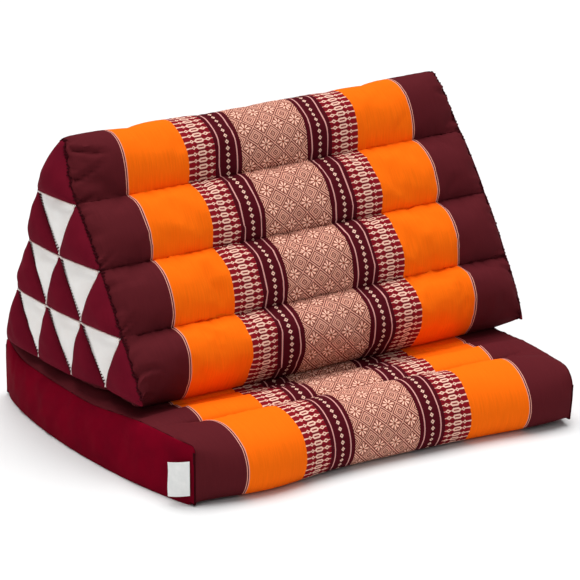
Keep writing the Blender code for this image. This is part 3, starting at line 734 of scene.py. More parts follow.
def mat_surface(sizes):
    """The mat's cover as a grid of closed rings, with its stations, arc lengths and the number of top points."""
    middle = mat_middle(sizes, END_ROLL_STEPS, PUFF_STEPS)
    sides = stations(1.0, MAT_TAPER, MAT_TAPER_ROWS, MAT_MIDDLE_ROWS)
    share = fullness(sides, 1.0, MAT_TAPER)[:, None]
    ends = [mat_end(side, END_ROLL_STEPS, arc_spacing(PUFF_STEPS)) for side in (-1, 1)]
    end = np.where(sides[:, None, None] < 0, ends[0][None], ends[1][None])
    arc = arc_lengths(middle)
    seams = mat_seam_depths()
    crest = MAT_SEAM_HEIGHT + 0.8 * sizes.mat_puff
    valley = np.clip(crest - middle[:, 1], 0, None) * (np.abs(middle[:, 0] - MAT_DEPTH / 2) < MAT_DEPTH / 2 - 0.045)
    smooth = np.clip((np.abs(sides[:, None]) - 0.74) / 0.20, 0, 1) ** 1.5
    depth = end[..., 0] + (middle[None, :, 0] - end[..., 0]) * share
    height = end[..., 1] + (middle[None, :, 1] + 0.85 * smooth * valley - end[..., 1]) * share
    apart = np.abs(depth[..., None] - seams).min(-1)
    column = np.argmin(np.abs(depth[..., None] - seams), axis=-1)
    x = np.broadcast_to(MAT_CLOTH_HALF * sides[:, None], depth.shape)
    (pucker_waves, pucker_reach), (gather_waves, gather_reach) = MAT_PUCKERS, MAT_GATHERS
    lump_waves, lump_depth = MAT_LUMPS
    puckers = np.zeros(depth.shape)
    for k in range(len(seams)):
        puckers = puckers + (column == k) * waves(x, 140 + k, *pucker_waves)
    on_top = np.clip((height - 0.045) / 0.012, 0, 1)
    depth_in = sizes.pucker * puckers * np.exp(-apart / pucker_reach) * share * on_top
    inwards = (1 - np.abs(sides))[:, None] * MAT_CLOTH_HALF
    gathers = waves(arc, 17, *gather_waves)[None, :] * np.exp(-inwards / gather_reach)
    lumps = mottle(x, arc[None, :], 23, *lump_waves) * share
    clear = np.clip((height - 0.012) / 0.02, 0, 1)
    height = height + depth_in + (sizes.pucker * 0.8 * gathers + lump_depth * lumps) * clear
    height = np.where(depth > CONTACT_START, np.minimum(height, CONTACT_HEIGHT), height)
    top = mat_place(sides[:, None], depth, height)
    floor_depth = depth[:, :1] + (depth[:, -1:] - depth[:, :1]) * np.linspace(0, 1, len(middle))[None, :]
    nearest = np.minimum(floor_depth - depth[:, :1], depth[:, -1:] - floor_depth)
    floor_height = FLOOR_GROOVE * np.clip(1 - nearest / GROOVE_REACH, 0, 1)
    floor = mat_place(sides[:, None], floor_depth, floor_height)
    points = np.concatenate([top, floor[:, -2:0:-1]], axis=1)
    underside = floor_depth[len(sides) // 2, -2:0:-1]
    ring = np.concatenate([middle, np.stack([underside, 0 * underside], -1), middle[:1]])
    return points, sides, arc_lengths(ring), len(middle)


def band_surface(sizes, side, seed):
    """A side band's crowned face from the floor to the top seam, and its flat back.

    The face stands out by a rim plus the crown times (1 - (2s-1)^6) times (4l(1-l)) to a power, with soft dents.
    """
    s = np.concatenate([arc_spacing(BAND_COLUMNS), [1.0]])[:, None]
    depth = -MAT_EDGE_OUT + (MAT_DEPTH + 2 * MAT_EDGE_OUT) * s
    nearest = np.minimum(depth + MAT_EDGE_OUT, MAT_DEPTH + MAT_EDGE_OUT - depth)
    low = FLOOR_GROOVE * np.clip(1 - nearest / GROOVE_REACH, 0, 1)
    high = mat_edge_height(depth, side)
    lift = np.concatenate([arc_spacing(BAND_ROWS), [1.0]])[None, :]
    height = low + (high - low) * lift
    crown = (1 - (2 * s - 1) ** 6) * (4 * lift * (1 - lift)) ** CROWN_POWER
    dents = mottle(depth, height, 300 + seed, 0.020, 0.090) * 0.0012 * crown
    gathers = waves(depth, 310 + seed, 0.012, 0.045) * 0.0009 * np.exp(-(1 - lift) / 0.22) * np.sqrt(crown.clip(0))
    for at, turn, deep in BAND_CREASES:
        line = depth - at + turn * (1 - lift) * MAT_SEAM_HEIGHT
        gathers = gathers - deep * np.exp(-((line / CREASE_HALF_WIDTH) ** 2)) * lift**3 * np.sqrt(crown.clip(0))
    rim = BAND_RIM * (1 - lift**8)
    face = mat_place(side, depth, height, BAND_SEAT + rim + sizes.band_crown * crown + dents + gathers)
    back = mat_place(side, depth, height, BAND_SEAT)
    return face, back


def add_node(material, kind, inputs=None, **settings):
    """Adds one node, sets its settings, and fills its inputs with values or with other nodes' outputs."""
    node = material.node_tree.nodes.new(kind)
    for name, value in settings.items():
        setattr(node, name, value)
    for key, value in (inputs or {}).items():
        if isinstance(value, bpy.types.NodeSocket):
            material.node_tree.links.new(value, node.inputs[key])
        else:
            node.inputs[key].default_value = value
    return node


def work_out(material, known, rows):
    """Adds a row of arithmetic for each (result, operation, sources), where a source is a number or a result."""
    for name, operation, *sources in rows:
        inputs = {n: known.get(s, s) for n, s in enumerate(sources)}
        known[name] = add_node(material, "ShaderNodeMath", inputs, operation=operation).outputs[0]


def lay_colours(material, base, known, layers):
    """Lays colours over a base one after another, each where its mask is 1."""
    colour = (*base, 1.0)
    for mask, tint in layers:
        inputs = {0: known[mask], 6: colour, 7: (*tint, 1.0)}
        colour = add_node(material, "ShaderNodeMix", inputs, data_type="RGBA").outputs[2]
    return colour


def new_cloth(name, roughness):
    """A cloth's Principled material: no metal, and almost no gloss, because its fibres scatter the light."""
    material = bpy.data.materials.new(name)
    material.use_nodes = True
    shader = material.node_tree.nodes["Principled BSDF"]
    shader.inputs["Roughness"].default_value = roughness
    shader.inputs["Specular IOR Level"].default_value = 0.03
    return material, shader


# The stripes' edges and the motifs' places, in millimetres of cloth from the middle of its width.
MIDDLE_EDGE, BORDER_START, BORDER_END, ORANGE_END = 42.4, 75.0, 109.4, 184.4
ROW_PITCH = 7.0
FLOWER_PITCH = 21.2
# The ground's check is a twelfth of the flower pitch, drawn coarser than the real picks so that it shows.
CHECK, CHECK_HALF = 1.767, 0.883


def diamond(name, centre, half, rise, hole):
    """The arithmetic of a diamond with a hole: how far u and row are from its middle, as shares of half and rise.

    A point is in the diamond where the two shares add up to less than 1, and in its hole where to less than hole.
    """
    return (
        (f"{name}_u", "SUBTRACT", "u", centre),
        (f"{name}_a", "ABSOLUTE", f"{name}_u"),
        (f"{name}_s", "DIVIDE", f"{name}_a", half),
        (f"{name}_d", "MULTIPLY_ADD", "row", 1 / rise, f"{name}_s"),
        (f"{name}_in", "LESS_THAN", f"{name}_d", 1.0),
        (f"{name}_hole", "LESS_THAN", f"{name}_d", hole),
        (name, "SUBTRACT", f"{name}_in", f"{name}_hole"),
    )


# The arithmetic of the woven pattern. u is the distance from the cloth's middle, v runs along it, and row is the
# distance from the middle of a motif row. Each motif is a mask that is 1 on its pale yarn.
STRIPE_ROWS = (
    ("u", "ABSOLUTE", "across"),
    ("wrapped", "WRAP", "along", ROW_PITCH / 2, -ROW_PITCH / 2),
    ("row", "ABSOLUTE", "wrapped"),
    ("brown", "GREATER_THAN", "u", ORANGE_END),
    ("orange", "GREATER_THAN", "u", BORDER_END),
    ("border", "GREATER_THAN", "u", BORDER_START),
    ("middle", "LESS_THAN", "u", MIDDLE_EDGE),
    ("inner_line", "COMPARE", "u", 48.4, 0.75),
    ("outer_line", "COMPARE", "u", 69.5, 0.75),
    ("pin_ground", "COMPARE", "u", 184.9, 1.4),
    ("pin_one", "COMPARE", "u", 183.8, 0.45),
    ("pin_two", "COMPARE", "u", 186.0, 0.45),
    ("pins", "MAXIMUM", "pin_one", "pin_two"),
    # A chain of small diamonds between the two lines, and the border's inner diamonds.
    *diamond("chain", 59.0, 2.5, 2.6, 0.32),
    *diamond("gem", 80.6, 4.3, 2.2, 0.34),
    # Long hexagons with a dark slot.
    ("hex_u", "SUBTRACT", "u", 91.6),
    ("hex_a", "ABSOLUTE", "hex_u"),
    ("hex_s", "DIVIDE", "hex_a", 6.6),
    ("hex_slope", "MULTIPLY_ADD", "row", 1 / 5.6, "hex_s"),
    ("hex_flat", "DIVIDE", "row", 2.5),
    ("hex_d", "MAXIMUM", "hex_slope", "hex_flat"),
    ("hex_in", "LESS_THAN", "hex_d", 1.0),
    ("slot_from", "LESS_THAN", "row", 0.75),
    ("slot_to", "LESS_THAN", "hex_a", 3.4),
    ("hex_hole", "MULTIPLY", "slot_from", "slot_to"),
    ("hexagon", "SUBTRACT", "hex_in", "hex_hole"),
    # A thin neck through the row, a small diamond, and the spike that runs from it to the border's edge.
    ("neck_on", "LESS_THAN", "row", 0.38),
    ("neck_to", "LESS_THAN", "u", 100.0),
    ("neck_a", "MULTIPLY", "neck_on", "neck_to"),
    ("neck_hole", "MAXIMUM", "gem_in", "hex_in"),
    ("neck_clear", "SUBTRACT", 1.0, "neck_hole"),
    ("neck", "MULTIPLY", "neck_a", "neck_clear"),
    *diamond("bud", 100.9, 2.7, 2.2, 0.36),
    ("spike_wide", "MULTIPLY_ADD", "bud_u", 0.07, 0.36),
    ("spike_thin", "LESS_THAN", "row", "spike_wide"),
    ("spike_from", "GREATER_THAN", "bud_u", 2.2),
    ("spike", "MULTIPLY", "spike_thin", "spike_from"),
    ("tail", "MAXIMUM", "bud", "spike"),
    ("motif_a", "MAXIMUM", "gem", "hexagon"),
    ("motif_b", "MAXIMUM", "motif_a", "tail"),
    ("motif_c", "MAXIMUM", "motif_b", "neck"),
    ("motif", "MULTIPLY", "motif_c", "border"),
    # The darker ground between the motif rows.
    ("between", "GREATER_THAN", "row", 2.95),
    ("before", "LESS_THAN", "u", 99.0),
    ("gap_a", "MULTIPLY", "between", "before"),
    ("row_gap", "MULTIPLY", "gap_a", "border"),
)

MIDDLE_ROWS = (
    # The flower cells, whose centres are a flower pitch apart both ways, and the small diamonds between them.
    ("shifted", "SUBTRACT", "across", FLOWER_PITCH / 2),
    ("cell_u", "WRAP", "shifted", FLOWER_PITCH / 2, -FLOWER_PITCH / 2),
    ("cell_v", "WRAP", "along", FLOWER_PITCH / 2, -FLOWER_PITCH / 2),
    ("cell_a", "ABSOLUTE", "cell_u"),
    ("cell_b", "ABSOLUTE", "cell_v"),
    ("cell_m", "ADD", "cell_a", "cell_b"),
    ("lattice_off", "SUBTRACT", "cell_m", FLOWER_PITCH / 2),
    ("lattice_a", "ABSOLUTE", "lattice_off"),
    # Three lines that follow the cells' edges, 3.1 mm apart; the last is the ring of the small diamond.
    ("line_wrap", "WRAP", "lattice_a", 3.1, 0.0),
    ("line_on", "COMPARE", "line_wrap", 1.55, 0.50),
    ("small", "SUBTRACT", FLOWER_PITCH, "cell_m"),
    ("small_core", "LESS_THAN", "small", 1.0),
    ("small_ring", "COMPARE", "small", 2.85, 0.75),
    ("edge_line", "COMPARE", "lattice_a", 1.55, 0.80),
    ("dark_a", "MAXIMUM", "small_core", "small_ring"),
    ("dark_b", "MAXIMUM", "dark_a", "edge_line"),
    ("dark", "MULTIPLY", "dark_b", "middle"),
    ("hatch", "MULTIPLY", "line_on", "middle"),
    # A fine check over the ground.
    ("dot_u", "WRAP", "across", CHECK, 0.0),
    ("dot_v", "WRAP", "along", CHECK, 0.0),
    ("dot_a", "LESS_THAN", "dot_u", CHECK_HALF),
    ("dot_b", "LESS_THAN", "dot_v", CHECK_HALF),
    ("dot_same", "COMPARE", "dot_a", "dot_b", 0.1),
    ("dots", "MULTIPLY", "dot_same", "middle"),
    # The flowers: eight petals round a dark eye.
    ("turn", "ARCTAN2", "cell_v", "cell_u"),
    ("turn_8", "MULTIPLY", "turn", 8.0),
    ("petal_wave", "COSINE", "turn_8"),
    ("petal_gap", "GREATER_THAN", "petal_wave", -0.15),
    ("square_u", "MULTIPLY", "cell_u", "cell_u"),
    ("square", "MULTIPLY_ADD", "cell_v", "cell_v", "square_u"),
    ("radius", "SQRT", "square"),
    ("petal_reach", "MULTIPLY_ADD", "petal_wave", 0.5, 5.6),
    ("petal_in", "LESS_THAN", "radius", "petal_reach"),
    ("eye_out", "GREATER_THAN", "radius", 1.6),
    ("petal_a", "MULTIPLY", "petal_in", "petal_gap"),
    ("petal_b", "MULTIPLY", "petal_a", "eye_out"),
    ("petal", "MULTIPLY", "petal_b", "middle"),
    ("flower_in", "LESS_THAN", "radius", 6.3),
    ("flower", "MULTIPLY", "flower_in", "middle"),
)


def woven_stripe(name, colours):
    """Woven striped cotton: dyed warp stripes with a pale extra weft that floats as motifs.

    It gives a matt face whose stripes follow every roll, with slight streaks along the warp.
    """
    material, shader = new_cloth(name, 0.82)
    uv = add_node(material, "ShaderNodeUVMap", uv_map="Cloth").outputs[0]
    split = add_node(material, "ShaderNodeSeparateXYZ", {0: uv})
    known = {"x": split.outputs[0], "y": split.outputs[1]}
    work_out(material, known, (("across", "MULTIPLY_ADD", "x", 1000.0, 2.2), ("along", "MULTIPLY", "y", 1000.0)))
    work_out(material, known, STRIPE_ROWS)
    work_out(material, known, MIDDLE_ROWS)
    layers = (
        ("inner_line", colours.pink),
        ("outer_line", colours.pink),
        ("chain", colours.cream),
        ("border", colours.ground_red),
        ("row_gap", linear("#641420")),
        ("motif", colours.cream),
        ("middle", colours.salmon),
        ("dots", linear("#c48474")),
        ("hatch", linear("#7e3832")),
        ("dark", linear("#662220")),
        ("flower", linear("#8e4838")),
        ("petal", linear("#fccab4")),
        ("orange", colours.orange),
        ("brown", colours.brown),
        ("pin_ground", linear("#5a1420")),
        ("pins", linear("#e0a090")),
    )
    colour = lay_colours(material, colours.stripe, known, layers)
    # Streaks: noise of about 1.2 mm across the warp and 30 mm along it.
    stretch = add_node(material, "ShaderNodeMapping", {0: uv, 3: (800.0, 34.0, 1.0)}).outputs[0]
    streak = add_node(material, "ShaderNodeTexNoise", {"Vector": stretch, "Scale": 1.0, "Detail": 2.0}).outputs[0]
    shade = add_node(material, "ShaderNodeMapRange", {0: streak, 1: 0.3, 2: 0.7, 3: 0.95, 4: 1.05}).outputs[0]
    tinted = add_node(material, "ShaderNodeVectorMath", {0: colour, 3: shade}, operation="SCALE").outputs[0]
    material.node_tree.links.new(tinted, shader.inputs["Base Color"])
    weave_bump(material, shader, uv, 0.00018)
    return material


def weave_bump(material, shader, place, height):
    """Plain weave: a fine noise at a thread spacing of 0.9 mm, drawn coarser than the real 0.4 mm so that it shows."""
    lattice = add_node(material, "ShaderNodeMapping", {0: place, 3: (1110.0, 1110.0, 1110.0)}).outputs[0]
    checks = add_node(material, "ShaderNodeTexNoise", {"Vector": lattice, "Scale": 1.0, "Detail": 1.0}).outputs[0]
    bump = add_node(material, "ShaderNodeBump", {"Height": checks, "Distance": height, "Strength": 0.6}).outputs[0]
    material.node_tree.links.new(bump, shader.inputs["Normal"])


def plain_cotton(name, base, shade, patch, roughness):
    """Plain-woven dyed cotton, its thread, or satin ribbon: uneven dye in soft patches, and a fine matt weave."""
    material, shader = new_cloth(name, roughness)
    place = add_node(material, "ShaderNodeTexCoord").outputs["Object"]
    noise = {"Vector": place, "Scale": 1 / patch, "Detail": 4.0, "Roughness": 0.6}
    blotch = add_node(material, "ShaderNodeTexNoise", noise).outputs[0]
    amount = add_node(material, "ShaderNodeMapRange", {0: blotch, 1: 0.35, 2: 0.68}).outputs[0]
    mix = {0: amount, 6: (*base, 1.0), 7: (*shade, 1.0)}
    colour = add_node(material, "ShaderNodeMix", mix, data_type="RGBA").outputs[2]
    material.node_tree.links.new(colour, shader.inputs["Base Color"])
    weave_bump(material, shader, place, 0.00020)
    return material


def cloth_named(name):
    """The named cloth or thread, made the first time it is asked for."""
    colours = bpy.context.scene.cushion_colours
    made = bpy.data.materials.get(name)
    if made is None and name == "cotton_woven_in_stripes":
        made = woven_stripe(name, colours)
    elif made is None:
        # Colour, its second shade, the size in metres of the dye's patches, and roughness.
        base, shade, patch, roughness = {
            "cotton_dyed_crimson": (colours.crimson, "#620e20", 0.03, 0.85),
            "cotton_bleached_white": (colours.white, "#faf6f2", 0.02, 0.85),
            "cotton_dyed_ruby": (colours.band, "#680017", 0.03, 0.85),
            "cotton_seam_turnings": (linear("#3c0a12"), "#30060c", 0.004, 0.85),
            "cotton_thread_dark": (linear("#2e0a0f"), "#4a141c", 0.003, 0.7),
            "cotton_thread_pale": (linear("#f4e6e0"), "#e8d0c8", 0.003, 0.7),
            "polyester_satin_ribbon": (linear("#f2f2f0"), "#e6e8e6", 0.012, 0.45),
        }[name]
        made = plain_cotton(name, base, linear(shade), patch, roughness)
    return made


def swell(context, piece, held, growth, pressure, cap):
    """Lets a cover's cloth grow a little and swell under pressure while its seams hold, and keeps the result.

    Each point stays within the cap of where it was, by a hyperbolic tangent. The seams are the points in held.
    """
    mesh = piece.data
    before = np.empty((len(mesh.vertices), 3), np.float32)
    mesh.vertices.foreach_get("co", before.ravel())
    seams = piece.vertex_groups.new(name="seams")
    seams.add(held.tolist(), 1.0, "REPLACE")
    cloth = piece.modifiers.new("cloth", "CLOTH")
    cloth.settings.quality = 5
    cloth.settings.mass = 0.15
    cloth.settings.tension_stiffness = 12
    cloth.settings.compression_stiffness = 12
    cloth.settings.shear_stiffness = 4
    cloth.settings.bending_stiffness = 0.4
    cloth.settings.vertex_group_mass = "seams"
    cloth.settings.use_pressure = True
    cloth.settings.uniform_pressure_force = pressure
    cloth.settings.shrink_min = -growth
    cloth.settings.effector_weights.gravity = 0
    cloth.point_cache.frame_start, cloth.point_cache.frame_end = 1, CLOTH_FRAMES
    for number in range(1, CLOTH_FRAMES + 1):
        context.scene.frame_set(number)
    after = np.empty_like(before)
    piece.evaluated_get(context.evaluated_depsgraph_get()).data.vertices.foreach_get("co", after.ravel())
    piece.modifiers.remove(cloth)
    piece.vertex_groups.clear()
    context.scene.frame_set(1)
    moved = after - before
    length = np.linalg.norm(moved, axis=1, keepdims=True)
    moved *= cap * np.tanh(length / cap) / np.maximum(length, 1e-9)
    mesh.vertices.foreach_set("co", (before + moved).ravel())
    mesh.update()


class CUSHION_OT_wedge_cover(bpy.types.Operator):
    """Sews the wedge's striped cover: one closed tube of twelve rolls with a lining at each end."""

    bl_idname = "cushion.wedge_cover"
    bl_label = "Wedge Cover"

    def execute(self, context):
        sizes = context.scene.cushion_sizes
        points, across, around = wedge_surface(sizes)
        rows, columns = points.shape[:2]
        flat = points.reshape(-1, 3)
        groups = [(grid_quads(rows, columns, closed=True), grid_uvs(across, around), 0)]
        hub = APEX * 0.3 + (FRONT_CORNER + REAR_CORNER) * 0.35
        hubs = np.array([[-sizes.wedge_half, *hub], [sizes.wedge_half, *hub]])
        c = np.arange(columns)
        for start, centre, turn in ((0, rows * columns, 1), ((rows - 1) * columns, rows * columns + 1, -1)):
            fan = np.stack([start + c, start + (c + 1) % columns, np.full(columns, centre)], -1)
            groups.append((fan[:, ::-turn], None, 1))
        cloths = ["cotton_woven_in_stripes", "cotton_seam_turnings"]
        piece = sew("wedge_cover", np.concatenate([flat, hubs]), groups, cloths)
        # The seams, the ends, the underside and the hubs hold still.
        r, c = np.meshgrid(np.arange(rows), np.arange(columns), indexing="ij")
        channel = c // WEDGE_STEPS
        seam = (c % WEDGE_STEPS == 0) & (channel % 4 != 1)
        held = seam | (r == 0) | (r == rows - 1) | (channel >= 9) | (channel == 0)
        held = np.concatenate([(r * columns + c)[held], rows * columns + np.arange(2)])
        swell(context, piece, held, growth=0.02, pressure=4.0, cap=0.004)
        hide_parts("wedge")
        return {"FINISHED"}


class CUSHION_OT_end_panels(bpy.types.Operator):
    """Sews the pieced end panels: filled crimson triangles that point up and white ones between them."""

    bl_idname = "cushion.end_panels"
    bl_label = "End Panels"

    def execute(self, context):
        sizes = context.scene.cushion_sizes
        net = triangle_net(PANEL_STEPS)
        for end, side in (("left", -1), ("right", 1)):
            for filled, tone, finish in ((True, "crimson", "dyed"), (False, "white", "bleached")):
                patches = [p for p in panel_patches() if p[2] == filled]
                shapes = [patch_shape(sizes, p, side, net, n + 20 * side) for n, p in enumerate(patches, 30)]
                piece = sew_plain(
                    f"{end}_{tone}_triangles", join(shapes), f"cotton_{finish}_{tone}"
                )
                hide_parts(*[f"{end}_{p[0]}" for p in patches])
        return {"FINISHED"}


class CUSHION_OT_mat_cover(bpy.types.Operator):
    """Sews the mat's striped cover: seven rolls on top, wrapped over the front and rear to a flat underside."""

    bl_idname = "cushion.mat_cover"
    bl_label = "Mat Cover"

    def execute(self, context):
        sizes = context.scene.cushion_sizes
        points, sides, around, top = mat_surface(sizes)
        rows, columns = points.shape[:2]
        groups = [(grid_quads(rows, columns, closed=True), grid_uvs(sides * MAT_CLOTH_HALF, around), 0)]
        k = np.arange(top - 1)
        below = (columns - k) % columns
        for start, turn in ((0, 1), ((rows - 1) * columns, -1)):
            strip = np.stack([start + k, start + k + 1, start + (columns - k - 1) % columns, start + below], -1)
            groups.append((strip[1:-1][:, ::-turn], None, 1))
            tips = np.array([[0, 1, columns - 1], [top - 2, top - 1, columns - top + 2]]) + start
            groups.append((tips[:, ::-turn], None, 1))
        cloths = ["cotton_woven_in_stripes", "cotton_seam_turnings"]
        piece = sew("mat_cover", points, groups, cloths)
        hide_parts("mat")
        return {"FINISHED"}


class CUSHION_OT_side_bands(bpy.types.Operator):
    """Sews the crimson bands that close the mat's two sides."""

    bl_idname = "cushion.side_bands"
    bl_label = "Side Bands"

    def execute(self, context):
        sizes = context.scene.cushion_sizes
        for n, (end, side) in enumerate((("left", -1), ("right", 1))):
            shape = shell(*band_surface(sizes, side, seed=n))
            piece = sew_plain(f"{end}_side_band", shape, "cotton_dyed_ruby")
            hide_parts(f"{end}_band")
        return {"FINISHED"}


class CUSHION_OT_hinge_and_tag(bpy.types.Operator):
    """Sews the strip that joins the wedge to the mat at the rear, and the bare tag at the mat's front corner."""

    bl_idname = "cushion.hinge_and_tag"
    bl_label = "Hinge Strip and Tag"

    def execute(self, context):
        # The strip rises aslant through its box, dips by a parabola, and turns forwards at its two ends.
        low, high = (np.array(corner) - MAKER_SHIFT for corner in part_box("hinge_strip"))
        lift = np.linspace(0, 1, 14)[None, :]
        x = np.linspace(low[0], high[0], 60)[:, None]
        dip = 0.0020 * 4 * lift * (1 - lift) + 0.0140 * (np.abs(x) / high[0]) ** 7
        slant = high[1] - low[1] - HINGE_THICKNESS
        y = high[1] - HINGE_THICKNESS - slant * (1 - lift) - dip + 0.0003 * waves(x, 501, 0.020, 0.080)
        z = low[2] + (high[2] - low[2]) * lift
        front = np.stack(np.broadcast_arrays(x, y, z), -1)
        back = front + np.array([0.0, HINGE_THICKNESS, 0.0])
        loops, (quads, ends) = shell(front, back)
        along = np.concatenate([arc_lengths(front[0]), arc_lengths(front[0])[::-1], [0.0]])
        groups = [(quads, grid_uvs(x[:, 0], along), 0), (ends, None, 0)]
        strip = sew("hinge_cloth", loops, groups, ["cotton_woven_in_stripes"])
        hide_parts("hinge_strip")
        self.sew_tag()
        return {"FINISHED"}

    def sew_tag(self):
        """A bare satin tag: a strip that swings out from the corner seam, curls by a parabola and hangs a little."""
        low, high = (np.array(corner) - MAKER_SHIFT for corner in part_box("tag"))
        root = np.array([high[0] - 0.0010, low[1], low[2] + 0.0050])
        swing = math.radians(30)
        along = np.array([-math.sin(swing), math.cos(swing), 0.0])
        outward = np.array([-math.cos(swing), -math.sin(swing), 0.0])
        s = np.linspace(0, 1, 16)[:, None, None]
        t = np.linspace(0, 1, 20)[None, :, None]
        curl = outward * (0.0020 * 4 * s * (1 - s) + 0.0008 * s * np.sin(2 * np.pi * t))
        rise = np.array([0.0, 0.0, 1.0]) * (0.0370 * t - 0.0050 * s)
        front = root + along * 0.0250 * s + curl + rise
        back = front + outward * TAG_THICKNESS
        tag = sew_plain("sewn_tag", shell(front, back), "polyester_satin_ribbon")
        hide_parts("tag")


class CUSHION_OT_stitching(bpy.types.Operator):
    """Sews the ribs round the end panels and the mat's seams, and the whip stitches that show."""

    bl_idname = "cushion.stitching"
    bl_label = "Stitching"

    def execute(self, context):
        sizes = context.scene.cushion_sizes
        points, _, _ = wedge_surface(sizes)
        for end, side in (("left", -1), ("right", 1)):
            path = points[0 if side < 0 else -1] + np.array([side * 0.0008, 0.0, 0.0])
            rib = tube(path, sizes.seam_rib, closed=True)
            sew_plain(f"{end}_panel_rib", rib, "cotton_seam_turnings")
            stitched, direction = evenly(np.concatenate([path, path[:1]]), sizes.stitch_pitch * 1.1)
            reach = np.random.default_rng(600 + side).uniform(0.6, 1.25, (len(stitched), 1))
            away = stitched - path.mean(0)
            away[:, 0] = 0
            away /= np.linalg.norm(away, axis=1, keepdims=True)
            across = np.array([[side * 1.0, 0.0, 0.0]])
            starts = stitched - across * WHIP_START[0] * reach + away * WHIP_START[1] - direction * WHIP_START[2]
            ends = stitched + across * WHIP_END[0] - away * WHIP_END[1] * reach + direction * WHIP_END[2]
            shape = spindles(starts, ends, away + across * 0.8, THREAD_RADIUS, bow=sizes.seam_rib * 1.3)
            sew_plain(f"{end}_rib_stitches", shape, "cotton_thread_dark")
            teeth, lips = [], []
            grid = panel_grid()
            for keys in (patch[1] for patch in panel_patches() if not patch[2]):
                # The teeth run down the edge from the white triangle's first corner to its last.
                corners = np.array([grid[key] for key in keys])
                length = np.linalg.norm(corners[2] - corners[0])
                t = np.arange(0.035, 0.985, sizes.stitch_pitch / length)
                near, inner = (
                    np.stack([(1 - t) * (1 - share), 0 * t + share, t * (1 - share)], -1)
                    for share in (TOOTH_FROM, TOOTH_TO)
                )
                slant = np.array([-TOOTH_SLANT, 0.0, TOOTH_SLANT])
                low, _ = patch_points(sizes, keys, False, [], side, near + slant)
                high, _ = patch_points(sizes, keys, False, [], side, inner - slant)
                out = np.tile([[side * 1.0, 0.0, 0.0]], (len(t), 1))
                teeth.append(spindles(low + out * 0.0004, high + out * 0.0004, out, TOOTH_RADIUS, bow=0.0007))
                edge = np.linspace(0.02, 0.98, 40)
                for a, b in ((0, 1), (1, 2)):
                    shares = np.full((len(edge), 3), SEAM_SHARE)
                    shares[:, a], shares[:, b] = (1 - edge) * (1 - SEAM_SHARE), edge * (1 - SEAM_SHARE)
                    line, _ = patch_points(sizes, keys, False, [], side, shares)
                    lips.append(tube(line + out[:1] * 0.0010, THREAD_RADIUS, sides=6))
            sew_plain(f"{end}_white_edge_stitches", join(teeth), "cotton_thread_dark")
            sew_plain(f"{end}_white_edge_lips", join(lips), "cotton_thread_pale")
        self.sew_mat_seams()
        return {"FINISHED"}

    def sew_mat_seams(self):
        """Ribs along the mat's bottom seam at each side, and up its corner seams."""
        ribs = []
        for side in (-1, 1):
            depth = np.linspace(-MAT_EDGE_OUT, MAT_DEPTH + MAT_EDGE_OUT, 120)
            ribs.append(tube(mat_place(side, depth, 0 * depth + 0.0030, 0.0012), 0.0016))
            radius = MAT_CORNER_RADII[side > 0]
            up = np.linspace(FLOOR_GROOVE, MAT_CORNER_HEIGHT - radius, 30)
            for edge in (-MAT_EDGE_OUT + 0.0008, MAT_DEPTH + MAT_EDGE_OUT - 0.0008):
                ribs.append(tube(mat_place(side, edge + 0 * up, up, 0.0012), 0.0012))
        sew_plain("mat_seam_ribs", join(ribs), "cotton_seam_turnings")


class CUSHION_OT_stage(bpy.types.Operator):
    """Lays the pale floor, hangs the soft lights and sets the camera at the photograph's angle."""

    bl_idname = "cushion.stage"
    bl_label = "Stage"

    def execute(self, context):
        scene = context.scene
        mesh = bpy.data.meshes.new("floor")
        corners = [(-6.0, -6.0, 0.0), (6.0, -6.0, 0.0), (6.0, 6.0, 0.0), (-6.0, 6.0, 0.0)]
        mesh.from_pydata(corners, [], [(0, 1, 2, 3)])
        floor = bpy.data.objects.new("floor", mesh)
        scene.collection.objects.link(floor)
        paper = bpy.data.materials.new("matt_white_paper")
        paper.use_nodes = True
        shader = paper.node_tree.nodes["Principled BSDF"]
        shader.inputs["Base Color"].default_value = (0.76, 0.76, 0.76, 1.0)
        shader.inputs["Roughness"].default_value = 0.9
        shader.inputs["Specular IOR Level"].default_value = 0.1
        mesh.materials.append(paper)
        world = bpy.data.worlds.new("studio")
        world.use_nodes = True
        sky = world.node_tree.nodes["Background"]
        sky.inputs["Color"].default_value = (1.0, 1.0, 1.0, 1.0)
        sky.inputs["Strength"].default_value = 0.26
        scene.world = world
        # Two wide suns stand for large softboxes, because they light the far floor as brightly as the near one.
        lights = (
            ("overhead_softbox", (0.08, 0.14, 0.98), 50.0, 3.5),
            ("left_softbox", (-0.70, -0.45, 0.55), 60.0, 0.46),
        )
        for name, towards, spread, power in lights:
            light = bpy.data.lights.new(name, "SUN")
            light.angle = math.radians(spread)
            light.energy = power
            lamp = bpy.data.objects.new(name, light)
            lamp.matrix_world = facing(2.0 * np.array(towards), np.array(towards))
            scene.collection.objects.link(lamp)
        lens = bpy.data.cameras.new("photo_angle")
        lens.sensor_width = SENSOR_WIDTH
        lens.lens = FOCAL_PIXELS * SENSOR_WIDTH / PHOTO_PIXELS
        lens.clip_start, lens.clip_end = 0.1, 50.0
        camera = bpy.data.objects.new("photo_angle", lens)
        level = math.cos(CAMERA_ELEVATION)
        across, ahead = math.sin(CAMERA_AZIMUTH) * level, -math.cos(CAMERA_AZIMUTH) * level
        back = np.array([across, ahead, math.sin(CAMERA_ELEVATION)])
        camera.matrix_world = facing(CAMERA_PLACE + MAKER_SHIFT, back)
        scene.collection.objects.link(camera)
        scene.camera = camera
        scene.view_settings.view_transform = "Standard"
        return {"FINISHED"}


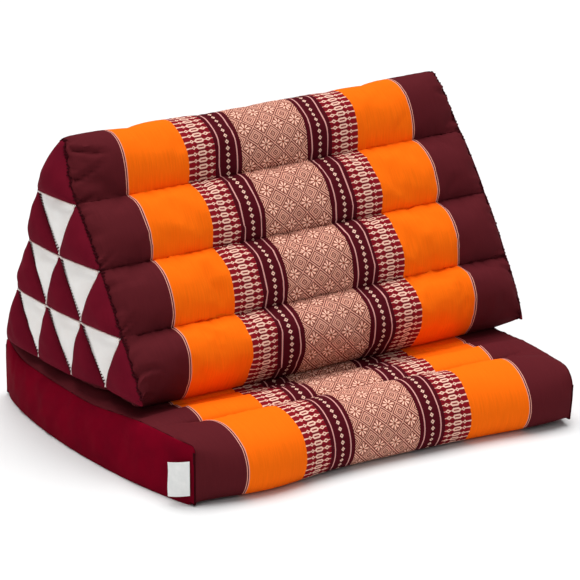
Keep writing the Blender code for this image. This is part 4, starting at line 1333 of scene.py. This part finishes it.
def facing(place, back):
    """The matrix of a camera or lamp at a place, level, whose own +Z points back."""
    back = back / np.linalg.norm(back)
    right = np.cross([0.0, 0.0, 1.0], back)
    right = right / np.linalg.norm(right) if np.linalg.norm(right) > 1e-6 else np.array([1.0, 0.0, 0.0])
    up = np.cross(back, right)
    rows = [[right[k], up[k], back[k], place[k]] for k in range(3)]
    return Matrix([*rows, [0.0, 0.0, 0.0, 1.0]])


class CUSHION_PT_sidebar(bpy.types.Panel):
    """Lists the cushion's sizes, colours and operators."""

    bl_label = "Triangle Cushion"
    bl_idname = "CUSHION_PT_sidebar"
    bl_space_type = "VIEW_3D"
    bl_region_type = "UI"
    bl_category = "Cushion"

    def draw(self, context):
        for group in (context.scene.cushion_sizes, context.scene.cushion_colours):
            box = self.layout.box()
            for name in group.__annotations__:
                box.prop(group, name)
        for operator in OPERATORS:
            self.layout.operator(operator.bl_idname)


OPERATORS = (
    CUSHION_OT_wedge_cover,
    CUSHION_OT_end_panels,
    CUSHION_OT_mat_cover,
    CUSHION_OT_side_bands,
    CUSHION_OT_hinge_and_tag,
    CUSHION_OT_stitching,
    CUSHION_OT_stage,
)
CLASSES = (CushionSizes, CushionColours, *OPERATORS, CUSHION_PT_sidebar)


def register():
    """Registers the sizes, the colours, the operators and the panel."""
    for cls in CLASSES:
        bpy.utils.register_class(cls)
    bpy.types.Scene.cushion_sizes = bpy.props.PointerProperty(type=CushionSizes)
    bpy.types.Scene.cushion_colours = bpy.props.PointerProperty(type=CushionColours)


def unregister():
    """Takes them all out again, last first."""
    del bpy.types.Scene.cushion_colours
    del bpy.types.Scene.cushion_sizes
    for cls in reversed(CLASSES):
        bpy.utils.unregister_class(cls)


def main():
    """Sews every piece in order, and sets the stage."""
    register()
    bpy.ops.cushion.wedge_cover()
    bpy.ops.cushion.end_panels()
    bpy.ops.cushion.mat_cover()
    bpy.ops.cushion.side_bands()
    bpy.ops.cushion.hinge_and_tag()
    bpy.ops.cushion.stitching()
    bpy.ops.cushion.stage()
    bpy.context.view_layer.update()


if __name__ == "__main__":
    main()
